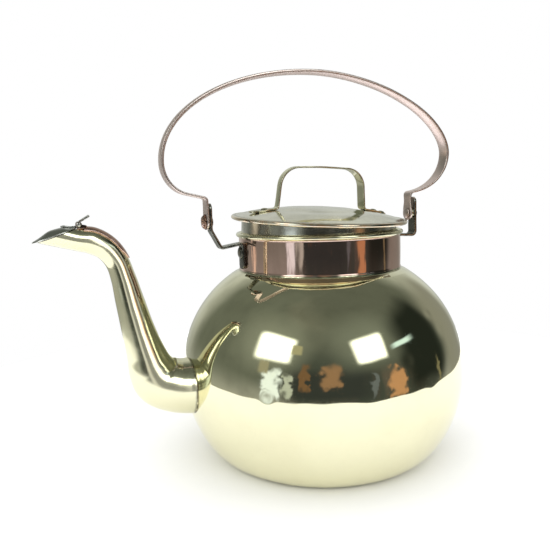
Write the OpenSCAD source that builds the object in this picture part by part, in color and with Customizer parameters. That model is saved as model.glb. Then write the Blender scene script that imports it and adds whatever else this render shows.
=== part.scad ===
// Gooseneck kettle in sheet brass and copper.
// Origin: centre of the flat base. +Z up, spout towards -X, bail handle in the XZ plane.
// Millimetres.

/* [Body] */
// Radius at the widest ring
body_r = 100; // [98:0.5:101]
// Height of the widest ring
belly_z = 56; // [54:0.5:58]
// Rise of the shoulder curve above the widest ring
shoulder_h = 88; // [87:0.5:89]
// Roundness of the shoulder curve, 2 is an ellipse
shoulder_pow = 2.17; // [2.1:0.01:2.25]
// Roundness of the curve under the widest ring
foot_pow = 1.69; // [1.6:0.01:1.8]
// Radius of the flat base
base_r = 71.8; // [70:0.2:73]
// Sheet thickness of the body
sheet = 1.2; // [1:0.1:1.4]

/* [Neck] */
// Outside radius of the copper band
band_r = 57.2; // [57:0.1:57.4]
// Sheet thickness of the copper band
band_t = 0.6; // [0.5:0.1:0.7]
// Height of the band's top edge
band_top_z = 153.6; // [153:0.2:154]
// Sheet thickness of the neck ring
neck_t = 0.7; // [0.6:0.1:0.8]
// Radius of the rolled rim's section
rim_bead_r = 1.5; // [1.4:0.1:1.6]

/* [Lid] */
// Outside radius of the lid
lid_r = 62; // [61:0.5:63]
// Height of the lid's edge at its centre
lid_z = 165; // [165:0.5:167]
// Tilt of the resting lid, far side up
lid_tilt_x = 3.1; // [0:0.1:3.1]
// Tilt of the resting lid, spout side up
lid_tilt_y = 2; // [0:0.1:2]
// Rise of the lid's dome
lid_dome_h = 7.2; // [6:0.2:8]
// Depth of the lid's plug ring
skirt_h = 13; // [11:0.5:13]
// Height of the lid handle above the lid's edge
lid_handle_h = 35.4; // [30:0.2:40]
// Distance of the lid handle's upper corners from the middle plane, left and right
lid_handle_w = [29.2, 32.2];
// Width of the lid handle's strap
lid_strap_w = 8.5; // [7:0.5:10]

/* [Bail handle] */
// Reach of the bow's left side from the middle plane, on the strap's middle
bow_left_w = 110; // [109:0.5:111]
// Reach of the bow's right side from the middle plane
bow_right_w = 108.8; // [108:0.2:110]
// Height of the left side's widest level
bow_left_z = 204.6; // [204:0.2:205]
// Height of the right side's widest level
bow_right_z = 210.4; // [210:0.2:211]
// Height of the bow's crown, on the strap's middle
bow_top_z = 265; // [263:0.5:268]
// Width of the strap
strap_w = 10; // [8:0.5:10.5]
// Thickness of the strap
strap_t = 1.6; // [1.4:0.1:1.7]
// Height of the pivot
pivot_z = 166; // [165.5:0.1:166.5]

/* [Brackets] */
// Distance of each bracket's upright from the middle plane
bracket_x = 80; // [79.9:0.1:80.1]
// Width of a bracket's strap
bracket_w = 8; // [7:0.5:9]
// Thickness of a bracket's strap
bracket_t = 2; // [1.9:0.1:2]

/* [Spout] */
// Sheet thickness of the spout
spout_t = 1.2; // [1:0.1:1.4]
// Thickness of the mouth flap
flap_t = 0.8; // [0.6:0.1:0.9]

/* [Hidden] */
$fn = 64;
fit = 0.05;                                   // running clearance round a pin, on the radius
apart = 0.4;                                  // gap between faces that move past each other
brass = [0.80, 0.74, 0.46];
copper = [0.72, 0.45, 0.36];
steel = [0.62, 0.62, 0.60];

// ---- curves ------------------------------------------------------------------------------

function unit(v) = v / norm(v);

// Shoulder of the body: a superellipse from the widest ring up to the neck.
neck_a = acos(pow(band_r / body_r, shoulder_pow / 2));
function shoulder(a, t) = [
    (body_r - t) * pow(cos(a), 2 / shoulder_pow),
    belly_z + (shoulder_h - t) * pow(sin(a), 2 / shoulder_pow)
];
// Lower half of the body: a superellipse from the widest ring in to the flat base.
function under(a, t) = [
    base_r - t + (body_r - base_r) * pow(cos(a), 2 / foot_pow),
    belly_z - (belly_z - t) * pow(sin(a), 2 / foot_pow)
];
neck_z = shoulder(neck_a, 0)[1];
function body_curve(t) = concat(
    [for (i = [20:-1:1]) under(90 * i / 20, t)],
    [for (i = [0:24]) shoulder(neck_a * i / 24, t)]
);

// Height of the lid's upper face over its edge plane.
dome_r = lid_r - 1.3;
function dome(r) = 0.9 + lid_dome_h * (1 - pow(min(abs(r), dome_r) / dome_r, 2.4));

// Arc of n steps that rounds the corner at b between a and c.
function corner(a, b, c, r, n = 6) =
    let (u = unit(a - b), w = unit(c - b), half = acos(u * w) / 2,
         m = b + unit(u + w) * r / sin(half),
         p = b + u * r / tan(half) - m, q = b + w * r / tan(half) - m,
         turn = sign(p[0] * q[1] - p[1] * q[0]) * acos(p * q / (r * r)))
    [for (i = [0:n]) let (s = turn * i / n)
        m + [p[0] * cos(s) - p[1] * sin(s), p[0] * sin(s) + p[1] * cos(s)]];

// Outline of a strap of thickness t that follows the points p, with mitred corners.
function side(p, i) =
    let (n = len(p) - 1,
         d0 = unit(p[max(i, 1)] - p[max(i, 1) - 1]),
         d1 = unit(p[min(i, n - 1) + 1] - p[min(i, n - 1)]),
         k = unit(d0 + d1))
    [-k[1], k[0]] / (k * d0);
function ribbon(p, t) = concat(
    [for (i = [0:len(p) - 1]) p[i] + side(p, i) * t / 2],
    [for (i = [len(p) - 1:-1:0]) p[i] - side(p, i) * t / 2]
);

// Smooth curve through stations s at the position u, counted in stations.
function spline(s, u) =
    let (i = min(floor(u), len(s) - 2), t = u - i,
         a = s[max(i - 1, 0)], b = s[i], c = s[i + 1], d = s[min(i + 2, len(s) - 1)])
    0.5 * (2 * b + (c - a) * t + (2 * a - 5 * b + 4 * c - d) * t * t
        + (3 * b - a - 3 * c + d) * t * t * t);

// ---- shared shapes -----------------------------------------------------------------------

// Strap that follows the XZ points p.
module strap(p, t, w) {
    rotate([90, 0, 0]) linear_extrude(w, center = true) polygon(ribbon(p, t));
}

// Ring between two radii and two heights.
module ring(r0, r1, z0, z1) {
    rotate_extrude($fn = 96) translate([r0, z0]) square([r1 - r0, z1 - z0]);
}

// Low round head that rises h above z = 0.
module head(r, h) {
    ball = (r * r + h * h) / (2 * h);
    intersection() {
        translate([0, 0, h - ball]) sphere(ball);
        cylinder(h, r, r);
    }
}

// Rivet along +Z: head on z = grip, closed end under z = 0.
module rivet(shank, grip, head_r, head_h, end_r, end_h) {
    cylinder(grip, shank, shank);
    translate([0, 0, grip]) head(head_r, head_h);
    mirror([0, 0, 1]) head(end_r, end_h);
}

// Points an axis along +X (side = 1) or -X (side = -1).
module outward(side) {
    rotate([0, 90 * side, 0]) children();
}

// ---- body --------------------------------------------------------------------------------

base_hole_r = 64;
lip_r = band_r - band_t - neck_t;             // inside of the neck ring
lip_h = 6;
spout_hole_r = 14;
spout_hole_z = 57;

module body_solid() {
    rotate_extrude($fn = 96) polygon(concat(
        [[0, 0]], body_curve(0), [[0, neck_z]]
    ));
}

module body_shell() {
    color(brass) difference() {
        rotate_extrude($fn = 96) polygon(concat(
            [[base_hole_r, 0]], body_curve(0),
            [[lip_r, neck_z], [lip_r, neck_z + lip_h], [lip_r - sheet, neck_z + lip_h],
             [lip_r - sheet, shoulder(neck_a, sheet)[1]]],
            [for (i = [23:-1:0]) shoulder(neck_a * i / 24, sheet)],
            [for (i = [1:20]) under(90 * i / 20, sheet)],
            [[base_hole_r, sheet]]
        ));
        translate([-body_r - 5, 0, spout_hole_z]) outward(1) cylinder(40, spout_hole_r, spout_hole_r);
    }
}

module base_disc() {
    color(brass) cylinder(sheet, base_hole_r, base_hole_r);
}

// ---- neck --------------------------------------------------------------------------------

rim_r = lip_r + rim_bead_r;
rim_z = band_top_z + rim_bead_r + 0.1;
rim_wire_r = rim_bead_r - 0.6;
foot_rivet_z = 144;
foot_rivet_r = 2;
foot_tail_r = 3.2;

module rim_circle(r) {
    rotate_extrude($fn = 96) translate([rim_r, rim_z]) circle(r, $fn = 32);
}

// Bores for the two rivets that hold the bracket feet.
module foot_rivet_bores() {
    for (s = [-1, 1])
        translate([s * 50, 0, foot_rivet_z]) outward(s) cylinder(15, foot_rivet_r, foot_rivet_r);
}

module neck_ring() {
    color(brass) difference() {
        union() {
            ring(lip_r, lip_r + neck_t, neck_z, rim_z);
            rim_circle(rim_bead_r);
        }
        rim_circle(rim_wire_r);
        foot_rivet_bores();
    }
}

module neck_rim_wire() {
    color(steel) rim_circle(rim_wire_r);
}

module copper_band() {
    color(copper) difference() {
        ring(band_r - band_t, band_r, neck_z, band_top_z);
        foot_rivet_bores();
    }
}

// ---- brackets ----------------------------------------------------------------------------

pivot_r = 2.5;
foot_z0 = 133;
foot_top_z = 150.5;
upright_top = 12;                             // top of the upright above the pivot

// The left bracket's upright leans out from its arm, the right one stands straight on it.
function bracket_path(s) =
    let (a = [band_r + bracket_t / 2, foot_top_z - 4],
         b = [band_r + bracket_t / 2, foot_top_z],
         c = s < 0 ? [73.4, 148.2] : [bracket_x, 149.2],
         d = [bracket_x, 160.3], e = [bracket_x, pivot_z + 4])
    concat([a], corner(a, b, c, 1.6),
        s < 0 ? concat(corner(b, c, d, 1.6), corner(c, d, e, 6)) : corner(b, c, e, 3.2),
        [e]);

module bracket(s) {
    mirror([s < 0 ? 1 : 0, 0, 0]) difference() {
        union() {
            intersection() {
                ring(band_r, band_r + bracket_t, foot_z0, foot_top_z - 4);
                translate([50, -bracket_w / 2, foot_z0]) cube([15, bracket_w, 20]);
            }
            strap(bracket_path(s), bracket_t, bracket_w);
            translate([bracket_x - bracket_t / 2, 0, pivot_z + upright_top - bracket_w / 2])
                outward(1) cylinder(bracket_t, bracket_w / 2, bracket_w / 2);
            translate([bracket_x - bracket_t / 2, -bracket_w / 2, pivot_z + 3])
                cube([bracket_t, bracket_w, upright_top - bracket_w / 2 - 3]);
        }
        translate([bracket_x - 5, 0, pivot_z]) outward(1) cylinder(10, pivot_r, pivot_r);
        cylinder(200, band_r, band_r, $fn = 96);
        foot_rivet_bores();
    }
}

module left_bracket() {
    color(brass) bracket(-1);
}

module right_bracket() {
    color(brass) bracket(1);
}

module bracket_rivets() {
    tail_x = sqrt(lip_r * lip_r - foot_tail_r * foot_tail_r) - 0.02;
    color(brass) for (s = [-1, 1])
        translate([s * tail_x, 0, foot_rivet_z]) outward(s)
            rivet(foot_rivet_r, band_r + bracket_t + 0.02 - tail_x, 4.2, 1.9, foot_tail_r, 0.6);
}

// ---- bail handle -------------------------------------------------------------------------

// The left end hangs outside its bracket, the right end inside.
washer_t = 2.2;
bracket_out = bracket_x + bracket_t / 2;
bracket_in = bracket_x - bracket_t / 2;
left_pad_x = bracket_out + apart + strap_t / 2;
right_pad_x = bracket_in - washer_t - apart - strap_t / 2;
curl_end = 78;                                // degrees round the lower curl of the bow
left_curl = [18.8, 20.6];                     // half width and depth of each side's curl
right_curl = [36, 29];
bend_r = 2.4;
pad_r = 5.4;

// Half of the bow from the crown down to the vertical end at x = pad_x: a superellipse with
// the given power, the elliptic lower curl, and the bend into the vertical end.
function half_bow(pad_x, w, wide_z, power, curl) =
    let (k = [w - curl[0], wide_z],
         slope = curl[1] / curl[0] * tan(90 - curl_end),
         last = k + [curl[0] * cos(curl_end), -curl[1] * sin(curl_end)],
         turn = [pad_x, last[1] - (last[0] - pad_x) * slope])
    concat(
        [for (i = [0:28]) let (a = 90 - 90 * i / 28)
            [w * pow(cos(a), 2 / power), wide_z + (bow_top_z - wide_z) * pow(sin(a), 2 / power)]],
        [for (i = [1:12]) let (a = curl_end * i / 12) k + [curl[0] * cos(a), -curl[1] * sin(a)]],
        corner(last, turn, turn - [0, 10], bend_r),
        [turn - [0, 8]]
    );

module pad(x, side) {
    translate([x - side * strap_t / 2, 0, pivot_z]) outward(side) {
        cylinder(strap_t, pad_r, pad_r);
        translate([side > 0 ? -9 : 0, -strap_w / 2, 0]) cube([9, strap_w, strap_t]);
    }
}

module handle() {
    left = half_bow(left_pad_x, bow_left_w, bow_left_z, 2.03, left_curl);
    right = half_bow(right_pad_x, bow_right_w, bow_right_z, 1.81, right_curl);
    middle = [for (i = [len(left) - 1:-1:1]) [-left[i][0], left[i][1]]];
    color(copper) difference() {
        union() {
            strap(concat(middle, right), strap_t, strap_w);
            pad(-left_pad_x, -1);
            pad(right_pad_x, 1);
        }
        for (s = [-1, 1])
            translate([s * 60, 0, pivot_z]) outward(s) cylinder(40, pivot_r + fit, pivot_r + fit);
    }
}

module left_pivot_rivet() {
    grip = bracket_t + 2 * apart + strap_t;
    color(brass) translate([-bracket_in, 0, pivot_z]) outward(-1)
        rivet(pivot_r, grip, 4.8, 2.4, 3.9, 1);
}

module right_pivot_rivet() {
    grip = bracket_t + washer_t + 2 * apart + strap_t;
    color(brass) translate([bracket_out, 0, pivot_z]) outward(-1)
        rivet(pivot_r, grip, 3.8, 0.9, 3.9, 1);
}

module right_pivot_washer() {
    color(brass) translate([bracket_in - washer_t, 0, pivot_z]) outward(1) difference() {
        cylinder(washer_t, 4, 4);
        translate([0, 0, -1]) cylinder(washer_t + 2, pivot_r, pivot_r);
    }
}

// ---- lid ---------------------------------------------------------------------------------

lid_sheet = 0.8;
lid_bead_r = 1.3;
lid_wire_r = 0.7;
skirt_r = 54.6;
lid_strap_t = 1.2;
lid_rivet_r = 1.3;
lid_rivet_xs = [-41.5, 45, 51.5];
lid_leg_x = [32.2, 34.9];
left_foot_x = 52.5;
right_foot_x = 55;
foot_gap = 0.05;

module lid_place() {
    translate([0, 0, lid_z]) rotate([lid_tilt_x, lid_tilt_y, 0]) children();
}

module lid_bead(r) {
    rotate_extrude($fn = 96) translate([lid_r - lid_bead_r, 0]) circle(r, $fn = 32);
}

module lid_rivet_bores() {
    for (x = lid_rivet_xs) translate([x, 0, -3]) cylinder(20, lid_rivet_r, lid_rivet_r);
}

module lid_plate() {
    steps = 18;
    color(brass) lid_place() difference() {
        union() {
            rotate_extrude($fn = 96) polygon(concat(
                [for (i = [0:steps]) let (r = dome_r * i / steps) [r, dome(r)]],
                [for (i = [steps:-1:0]) let (r = dome_r * i / steps) [r, dome(r) - lid_sheet]]
            ));
            lid_bead(lid_bead_r);
        }
        lid_bead(lid_wire_r);
        lid_rivet_bores();
    }
}

module lid_edge_wire() {
    color(steel) lid_place() lid_bead(lid_wire_r);
}

module lid_skirt() {
    inner = skirt_r - 0.8;
    top = dome(skirt_r) - lid_sheet - foot_gap;
    color(brass) lid_place() rotate_extrude($fn = 96) polygon([
        [inner, -skirt_h], [skirt_r, -skirt_h], [skirt_r, top], [inner, top]
    ]);
}

// One leg with its foot, from the outer end of the foot up to the top of the handle.
function lid_leg(end, lift, leg_x, top_x) =
    let (lay = foot_gap + lid_strap_t / 2, n = 4,
         foot = [for (i = [0:n - 1]) let (x = end + (leg_x + 4 - end) * i / (n - 1))
             [x, dome(x) + lay + lift * max(0, (x - 45) / 8)]],
         ankle = [leg_x, dome(leg_x) + lay],
         shoulder = [top_x, lid_handle_h])
    concat(foot,
        corner(foot[n - 1], ankle, shoulder, 2.4),
        corner(ankle, shoulder, [0, lid_handle_h], 12, 8));

module lid_handle() {
    left = [for (p = lid_leg(left_foot_x, 0.9, lid_leg_x[0], lid_handle_w[0])) [-p[0], p[1]]];
    r = lid_leg(right_foot_x, 0, lid_leg_x[1], lid_handle_w[1]);
    right = [for (i = [len(r) - 1:-1:0]) r[i]];
    color(brass) lid_place() difference() {
        strap(concat(left, right), lid_strap_t, lid_strap_w);
        lid_rivet_bores();
        for (end = [[-left_foot_x, 1], [right_foot_x, -1]])
            translate([end[0], 0, -2]) difference() {
                translate([-lid_strap_w / 2, -lid_strap_w, 0])
                    cube([lid_strap_w, 2 * lid_strap_w, 12]);
                translate([end[1] * lid_strap_w / 2, 0, -1])
                    cylinder(14, lid_strap_w / 2, lid_strap_w / 2);
                translate([end[1] * lid_strap_w / 2 - (end[1] < 0 ? lid_strap_w : 0),
                           -lid_strap_w, -1]) cube([lid_strap_w, 2 * lid_strap_w, 14]);
            }
    }
}

module lid_rivets() {
    seat = lid_sheet + foot_gap + lid_strap_t;
    color(brass) lid_place() for (x = lid_rivet_xs)
        translate([x, 0, dome(abs(x) + 2) - lid_sheet])
            rivet(lid_rivet_r, seat + 1.05, 2.2, 0.7, 2, 0.5);
}

// ---- spout -------------------------------------------------------------------------------

// Stations from the root to the mouth: x, z, half height and half width of the section.
spout_stations = [
    [-86, 56.2, 18.8, 19.5], [-98, 57, 18.6, 19], [-109, 58.9, 17.9, 18],
    [-118.5, 63.8, 17.2, 16.2], [-123.4, 72, 15.2, 14.3], [-126.6, 83, 12.6, 12.3],
    [-130.5, 99, 10.5, 10.5], [-134.4, 117.2, 9.1, 9], [-137.6, 132.5, 7.8, 7.8],
    [-141.1, 144, 7.3, 7.3], [-146.8, 152.3, 7.5, 7.6], [-155, 157.3, 7.9, 8.1],
    [-164.2, 159.2, 7.2, 8.2], [-176.8, 163, 7.5, 8.2], [-190.3, 167, 7.5, 7.9]
];
spout_steps = 42;
spout_sides = 32;

// Section frame at u: centre, direction, half sizes.
function spout_ring(u, t, a0, a1, n) =
    let (s = spline(spout_stations, u),
         d = unit(spline(spout_stations, min(u + 0.05, len(spout_stations) - 1))
                - spline(spout_stations, max(u - 0.05, 0))),
         k = unit([d[1], -d[0]]))
    [for (i = [0:n - 1]) let (a = a0 + (a1 - a0) * i / n,
                              h = (s[2] - t) * cos(a), w = (s[3] - t) * sin(a))
        [s[0] + k[0] * h, w, s[1] + k[1] * h]];

// Closed skin over rings of n points each.
module skin(rings) {
    n = len(rings[0]);
    m = len(rings);
    polyhedron(
        points = [for (r = rings) each r],
        faces = concat(
            [[for (i = [0:n - 1]) i]],
            [for (j = [0:m - 2]) for (i = [0:n - 1]) let (k = (i + 1) % n)
                each [[j * n + i, (j + 1) * n + i, (j + 1) * n + k],
                      [j * n + i, (j + 1) * n + k, j * n + k]]],
            [[for (i = [n - 1:-1:0]) (m - 1) * n + i]]
        )
    );
}

module spout_skin(t) {
    last = len(spout_stations) - 1;
    skin([for (j = [0:spout_steps]) spout_ring(last * j / spout_steps, t, 0, 360, spout_sides)]);
}

// The mouth is cut on a slant from the tip up to the hinge.
mouth_tip = [-186.1, 158];
mouth_back = [-161.6, 165.9];
mouth_a = atan2(mouth_back[1] - mouth_tip[1], mouth_back[0] - mouth_tip[0]);
pin = [-162.2, 167.9];

module mouth_cut() {
    translate([mouth_tip[0], 0, mouth_tip[1]]) rotate([0, -mouth_a, 0])
        translate([-20, -20, 0]) cube([60, 40, 30]);
}

module spout() {
    color(brass) difference() {
        spout_skin(0);
        spout_skin(spout_t);
        body_solid();
        mouth_cut();
    }
}

// ---- spout flap and its hinge ------------------------------------------------------------

pin_r = 0.9;
knuckle_r = 1.7;
knuckle_w = 4;
ear_w = 2;
strap_u0 = 8.9;                               // ends of the hinge strap along the spout
strap_u1 = 11.65;
strap_half_a = 36;                            // degrees of the section that it covers
hinge_strap_t = 0.8;
solder = 0.1;                                 // the strap is let into the spout by this much

module across(y) {
    translate([pin[0], y, pin[1]]) rotate([-90, 0, 0]) children();
}

module spout_hinge_strap() {
    n = 12;
    color(copper) difference() {
        union() {
            skin([for (j = [0:n]) let (u = strap_u0 + (strap_u1 - strap_u0) * j / n) concat(
                spout_ring(u, -hinge_strap_t, -strap_half_a, strap_half_a, n),
                spout_ring(u, solder, strap_half_a, -strap_half_a, n)
            )]);
            for (s = [0, 1]) mirror([0, s, 0]) {
                across(knuckle_w / 2 + 0.3) cylinder(ear_w, knuckle_r, knuckle_r);
                translate([pin[0], knuckle_w / 2 + 0.3, pin[1] - 2.4]) cube([4.4, ear_w, 1.8]);
            }
        }
        across(-10) cylinder(20, pin_r, pin_r);
    }
}

module flap_hinge_pin() {
    half = knuckle_w / 2 + 0.3 + ear_w;
    color(steel) across(-half) {
        cylinder(2 * half, pin_r, pin_r);
        mirror([0, 0, 1]) head(1.5, 0.8);
        translate([0, 0, 2 * half]) head(1.5, 0.8);
    }
}

// Flap frame: origin on the pin, -X down the mouth towards the tip.
module flap_place() {
    translate([pin[0], 0, pin[1]]) rotate([0, -mouth_a, 0]) children();
}

mouth_below = 2.07;                           // mouth plane under the pin
flap_z = -mouth_below + 0.35;
flap_len = 27;
flap_back = 1.8;                              // flap's near end, measured from the pin
flap_w = 16.8;

module spout_flap() {
    color(steel) flap_place() translate([-flap_back - flap_len / 2, 0, flap_z])
        linear_extrude(flap_t) polygon([for (i = [0:63]) let (a = 360 * i / 64)
            [flap_len / 2 * cos(a), flap_w / 2 * sin(a)]]);
}

module flap_hinge_leaf() {
    leaf_z = flap_z + flap_t;
    color(steel) flap_place() difference() {
        union() {
            translate([-10, -knuckle_w / 2, leaf_z]) cube([10, knuckle_w, 0.8]);
            translate([0, -knuckle_w / 2, 0]) rotate([-90, 0, 0])
                cylinder(knuckle_w, knuckle_r, knuckle_r);
            rotate([0, -18, 0]) translate([0, 0, 0.65]) linear_extrude(0.9) polygon([
                [0.9, -1.9], [3, -1.9], [3, -4.2], [7.2, -4.2], [8, -3.4],
                [8, 3.4], [7.2, 4.2], [3, 4.2], [3, 1.9], [0.9, 1.9]
            ]);
        }
        translate([0, -5, 0]) rotate([-90, 0, 0]) cylinder(10, pin_r + fit, pin_r + fit);
    }
}

body_shell();
base_disc();
neck_ring();
neck_rim_wire();
copper_band();
spout();
spout_hinge_strap();
flap_hinge_pin();
left_bracket();
right_bracket();
bracket_rivets();
left_pivot_rivet();
right_pivot_rivet();
right_pivot_washer();
handle();
lid_plate();
lid_edge_wire();
lid_skirt();
lid_handle();
lid_rivets();
spout_flap();
flap_hinge_leaf();
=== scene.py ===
"""Gooseneck kettle in polished brass with a copper neck band and a copper bail handle.

Every length in the shape functions is in millimetres, and the mesh builder turns it into metres.
"""

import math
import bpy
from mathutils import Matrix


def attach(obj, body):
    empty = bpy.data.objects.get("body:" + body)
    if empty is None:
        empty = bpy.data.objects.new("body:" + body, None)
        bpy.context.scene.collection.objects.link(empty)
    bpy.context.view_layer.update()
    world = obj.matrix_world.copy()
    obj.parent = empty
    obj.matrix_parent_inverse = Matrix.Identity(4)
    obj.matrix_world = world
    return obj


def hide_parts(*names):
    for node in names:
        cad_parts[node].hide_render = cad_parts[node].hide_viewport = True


bl_info = {
    "name": "Brass gooseneck kettle",
    "version": (1, 0, 0),
    "blender": (4, 5, 0),
    "location": "3D View > Sidebar > Kettle",
    "description": "Builds the sheet metal of a brass and copper kettle round its packed frame",
    "category": "Add Mesh",
}

import bpy
import numpy as np
from mathutils import Matrix, Vector

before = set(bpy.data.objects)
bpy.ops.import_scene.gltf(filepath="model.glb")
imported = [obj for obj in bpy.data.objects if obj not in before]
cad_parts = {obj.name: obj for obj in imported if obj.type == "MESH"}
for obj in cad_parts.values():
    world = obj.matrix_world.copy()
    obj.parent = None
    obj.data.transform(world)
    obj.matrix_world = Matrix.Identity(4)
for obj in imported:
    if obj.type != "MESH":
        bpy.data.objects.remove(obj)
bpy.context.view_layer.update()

MM = 0.001
SHARP = math.radians(38)

# ---- sizes that several pieces share ------------------------------------------------------

SHEET = 1.2                             # wall of the body and the spout
BELLY_R, BELLY_Z = 100.0, 56.0          # widest ring of the body
SHOULDER_H, SHOULDER_POWER = 88.0, 2.17
FLAT_R, UNDER_W, UNDER_POWER = 71.8, 28.2, 1.69
BASE_HOLE = 64.0
NECK_R, NECK_T = 55.9, 0.7              # inside and wall of the neck ring
RIM_Z, RIM_BEAD = 155.2, 1.5
BAND_R, BAND_T, BAND_TOP = 57.2, 0.6, 153.5
FOOT_RIVET_Z = 144.0
PIVOT_Z, PIVOT_R = 166.0, 2.5
BRACKET_X, BRACKET_T = 80.0, 2.0        # upright part of a bracket, and its sheet
APART = 0.4                             # gap between the faces at a pivot
STRAP_T = 1.6                           # thickness of the bail's ends
WASHER_T = 2.2
LID_Z, LID_R, LID_BEAD, LID_SHEET = 165.0, 62.0, 1.3, 0.8
LID_TILT = (3.1, 2.0)                   # degrees about X, then about Y
MOUTH_TIP = np.array([-186.1, 158.0])   # x, z of the spout's slanted mouth
MOUTH_BACK = np.array([-161.6, 165.9])
PIN = np.array([-162.2, 167.9])         # x, z of the flap's hinge
FLAP_HALF, FLAP_W = 13.5, 8.4           # half length and half width of the flap
BOW_TOP = 265.0
BOW_LEFT = (110.0, 204.6, 2.03, (18.8, 20.6))    # reach, widest level, power, lower curl
BOW_RIGHT = (108.8, 210.4, 1.81, (36.0, 29.0))


# ---- curves -------------------------------------------------------------------------------

def unit(v):
    """The vectors along the last axis, at length one."""
    return v / np.maximum(np.linalg.norm(v, axis=-1, keepdims=True), 1e-12)


def smooth(x, low, high):
    """Smooth step: 0 below low, 1 above high, 3t^2 - 2t^3 in between."""
    t = np.clip((np.asarray(x, float) - low) / (high - low), 0, 1)
    return t * t * (3 - 2 * t)


def waves(points, size, seed):
    """Uneven sheet: sine waves of about the given length, in seeded directions, added up."""
    rng, count = np.random.default_rng(seed), 10
    way = unit(rng.normal(size=(count, 3)))
    way = way * (2 * np.pi / (size * rng.uniform(0.7, 1.5, (count, 1))))
    phase = rng.uniform(0, 2 * np.pi, count)
    return np.sin(points @ way.T + phase).sum(-1) / math.sqrt(count)


def shoulder(a, t=0.0):
    """Body above the widest ring: a quarter superellipse, a from 0 to 90 degrees, t inside it."""
    c, s = np.cos(a) ** (2 / SHOULDER_POWER), np.sin(a) ** (2 / SHOULDER_POWER)
    return np.stack([(BELLY_R - t) * c, BELLY_Z + (SHOULDER_H - t) * s], -1)


def under(a, t=0.0):
    """Body below the widest ring: a flatter quarter superellipse down to the flat base."""
    c, s = np.cos(a) ** (2 / UNDER_POWER), np.sin(a) ** (2 / UNDER_POWER)
    return np.stack([FLAT_R - t + UNDER_W * c, BELLY_Z - (BELLY_Z - t) * s], -1)


NECK_A = math.acos((BAND_R / BELLY_R) ** (SHOULDER_POWER / 2))
NECK_Z = float(shoulder(np.array(NECK_A))[1])


def inside_body(p):
    """Less than 0 inside the body, more outside: the two superellipses as one implicit curve."""
    r, z = np.hypot(p[..., 0], p[..., 1]), p[..., 2]
    up, down, out = np.maximum(z - BELLY_Z, 0), np.maximum(BELLY_Z - z, 0), np.maximum(r - FLAT_R, 0)
    high = (r / BELLY_R) ** SHOULDER_POWER + (up / SHOULDER_H) ** SHOULDER_POWER - 1
    low = (out / UNDER_W) ** UNDER_POWER + (down / BELLY_Z) ** UNDER_POWER - 1
    return np.where(z >= BELLY_Z, high, low)


def arc(centre, radius, start, stop, count):
    """Points of a circle's arc from start to stop degrees."""
    a = np.radians(np.linspace(start, stop, count))
    return np.stack([centre[0] + radius * np.cos(a), centre[1] + radius * np.sin(a)], -1)


def fillet(a, b, c, radius, count=9):
    """The arc that rounds the corner at b between a and c."""
    a, b, c = (np.asarray(p, float) for p in (a, b, c))
    u, w = unit(a - b), unit(c - b)
    half = math.acos(float(np.clip(u @ w, -1, 1))) / 2
    m = b + unit(u + w) * radius / math.sin(half)
    p, q = b + u * radius / math.tan(half) - m, b + w * radius / math.tan(half) - m
    turn = math.copysign(math.acos(float(np.clip(p @ q / radius ** 2, -1, 1))),
                         p[0] * q[1] - p[1] * q[0])
    s = np.linspace(0, turn, count)
    return m + np.stack([p[0] * np.cos(s) - p[1] * np.sin(s), p[0] * np.sin(s) + p[1] * np.cos(s)], -1)


def lengths(path):
    """Distance along a path at each of its points."""
    return np.concatenate([[0.0], np.cumsum(np.linalg.norm(np.diff(path, axis=0), axis=1))])


def follow(path, step, ends=6.0):
    """The path again at an even step, with finer steps near both of its ends."""
    s = lengths(path)
    total = s[-1]
    fine = ends * (1 - np.cos(np.linspace(0, np.pi / 2, 14)))
    middle = np.linspace(ends, total - ends, max(int((total - 2 * ends) / step), 2) + 1)
    at = np.unique(np.concatenate([fine, middle, total - fine]).round(6))
    out = np.stack([np.interp(at, s, path[:, k]) for k in range(path.shape[1])], -1)
    return out, at


# ---- surfaces -----------------------------------------------------------------------------

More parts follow.
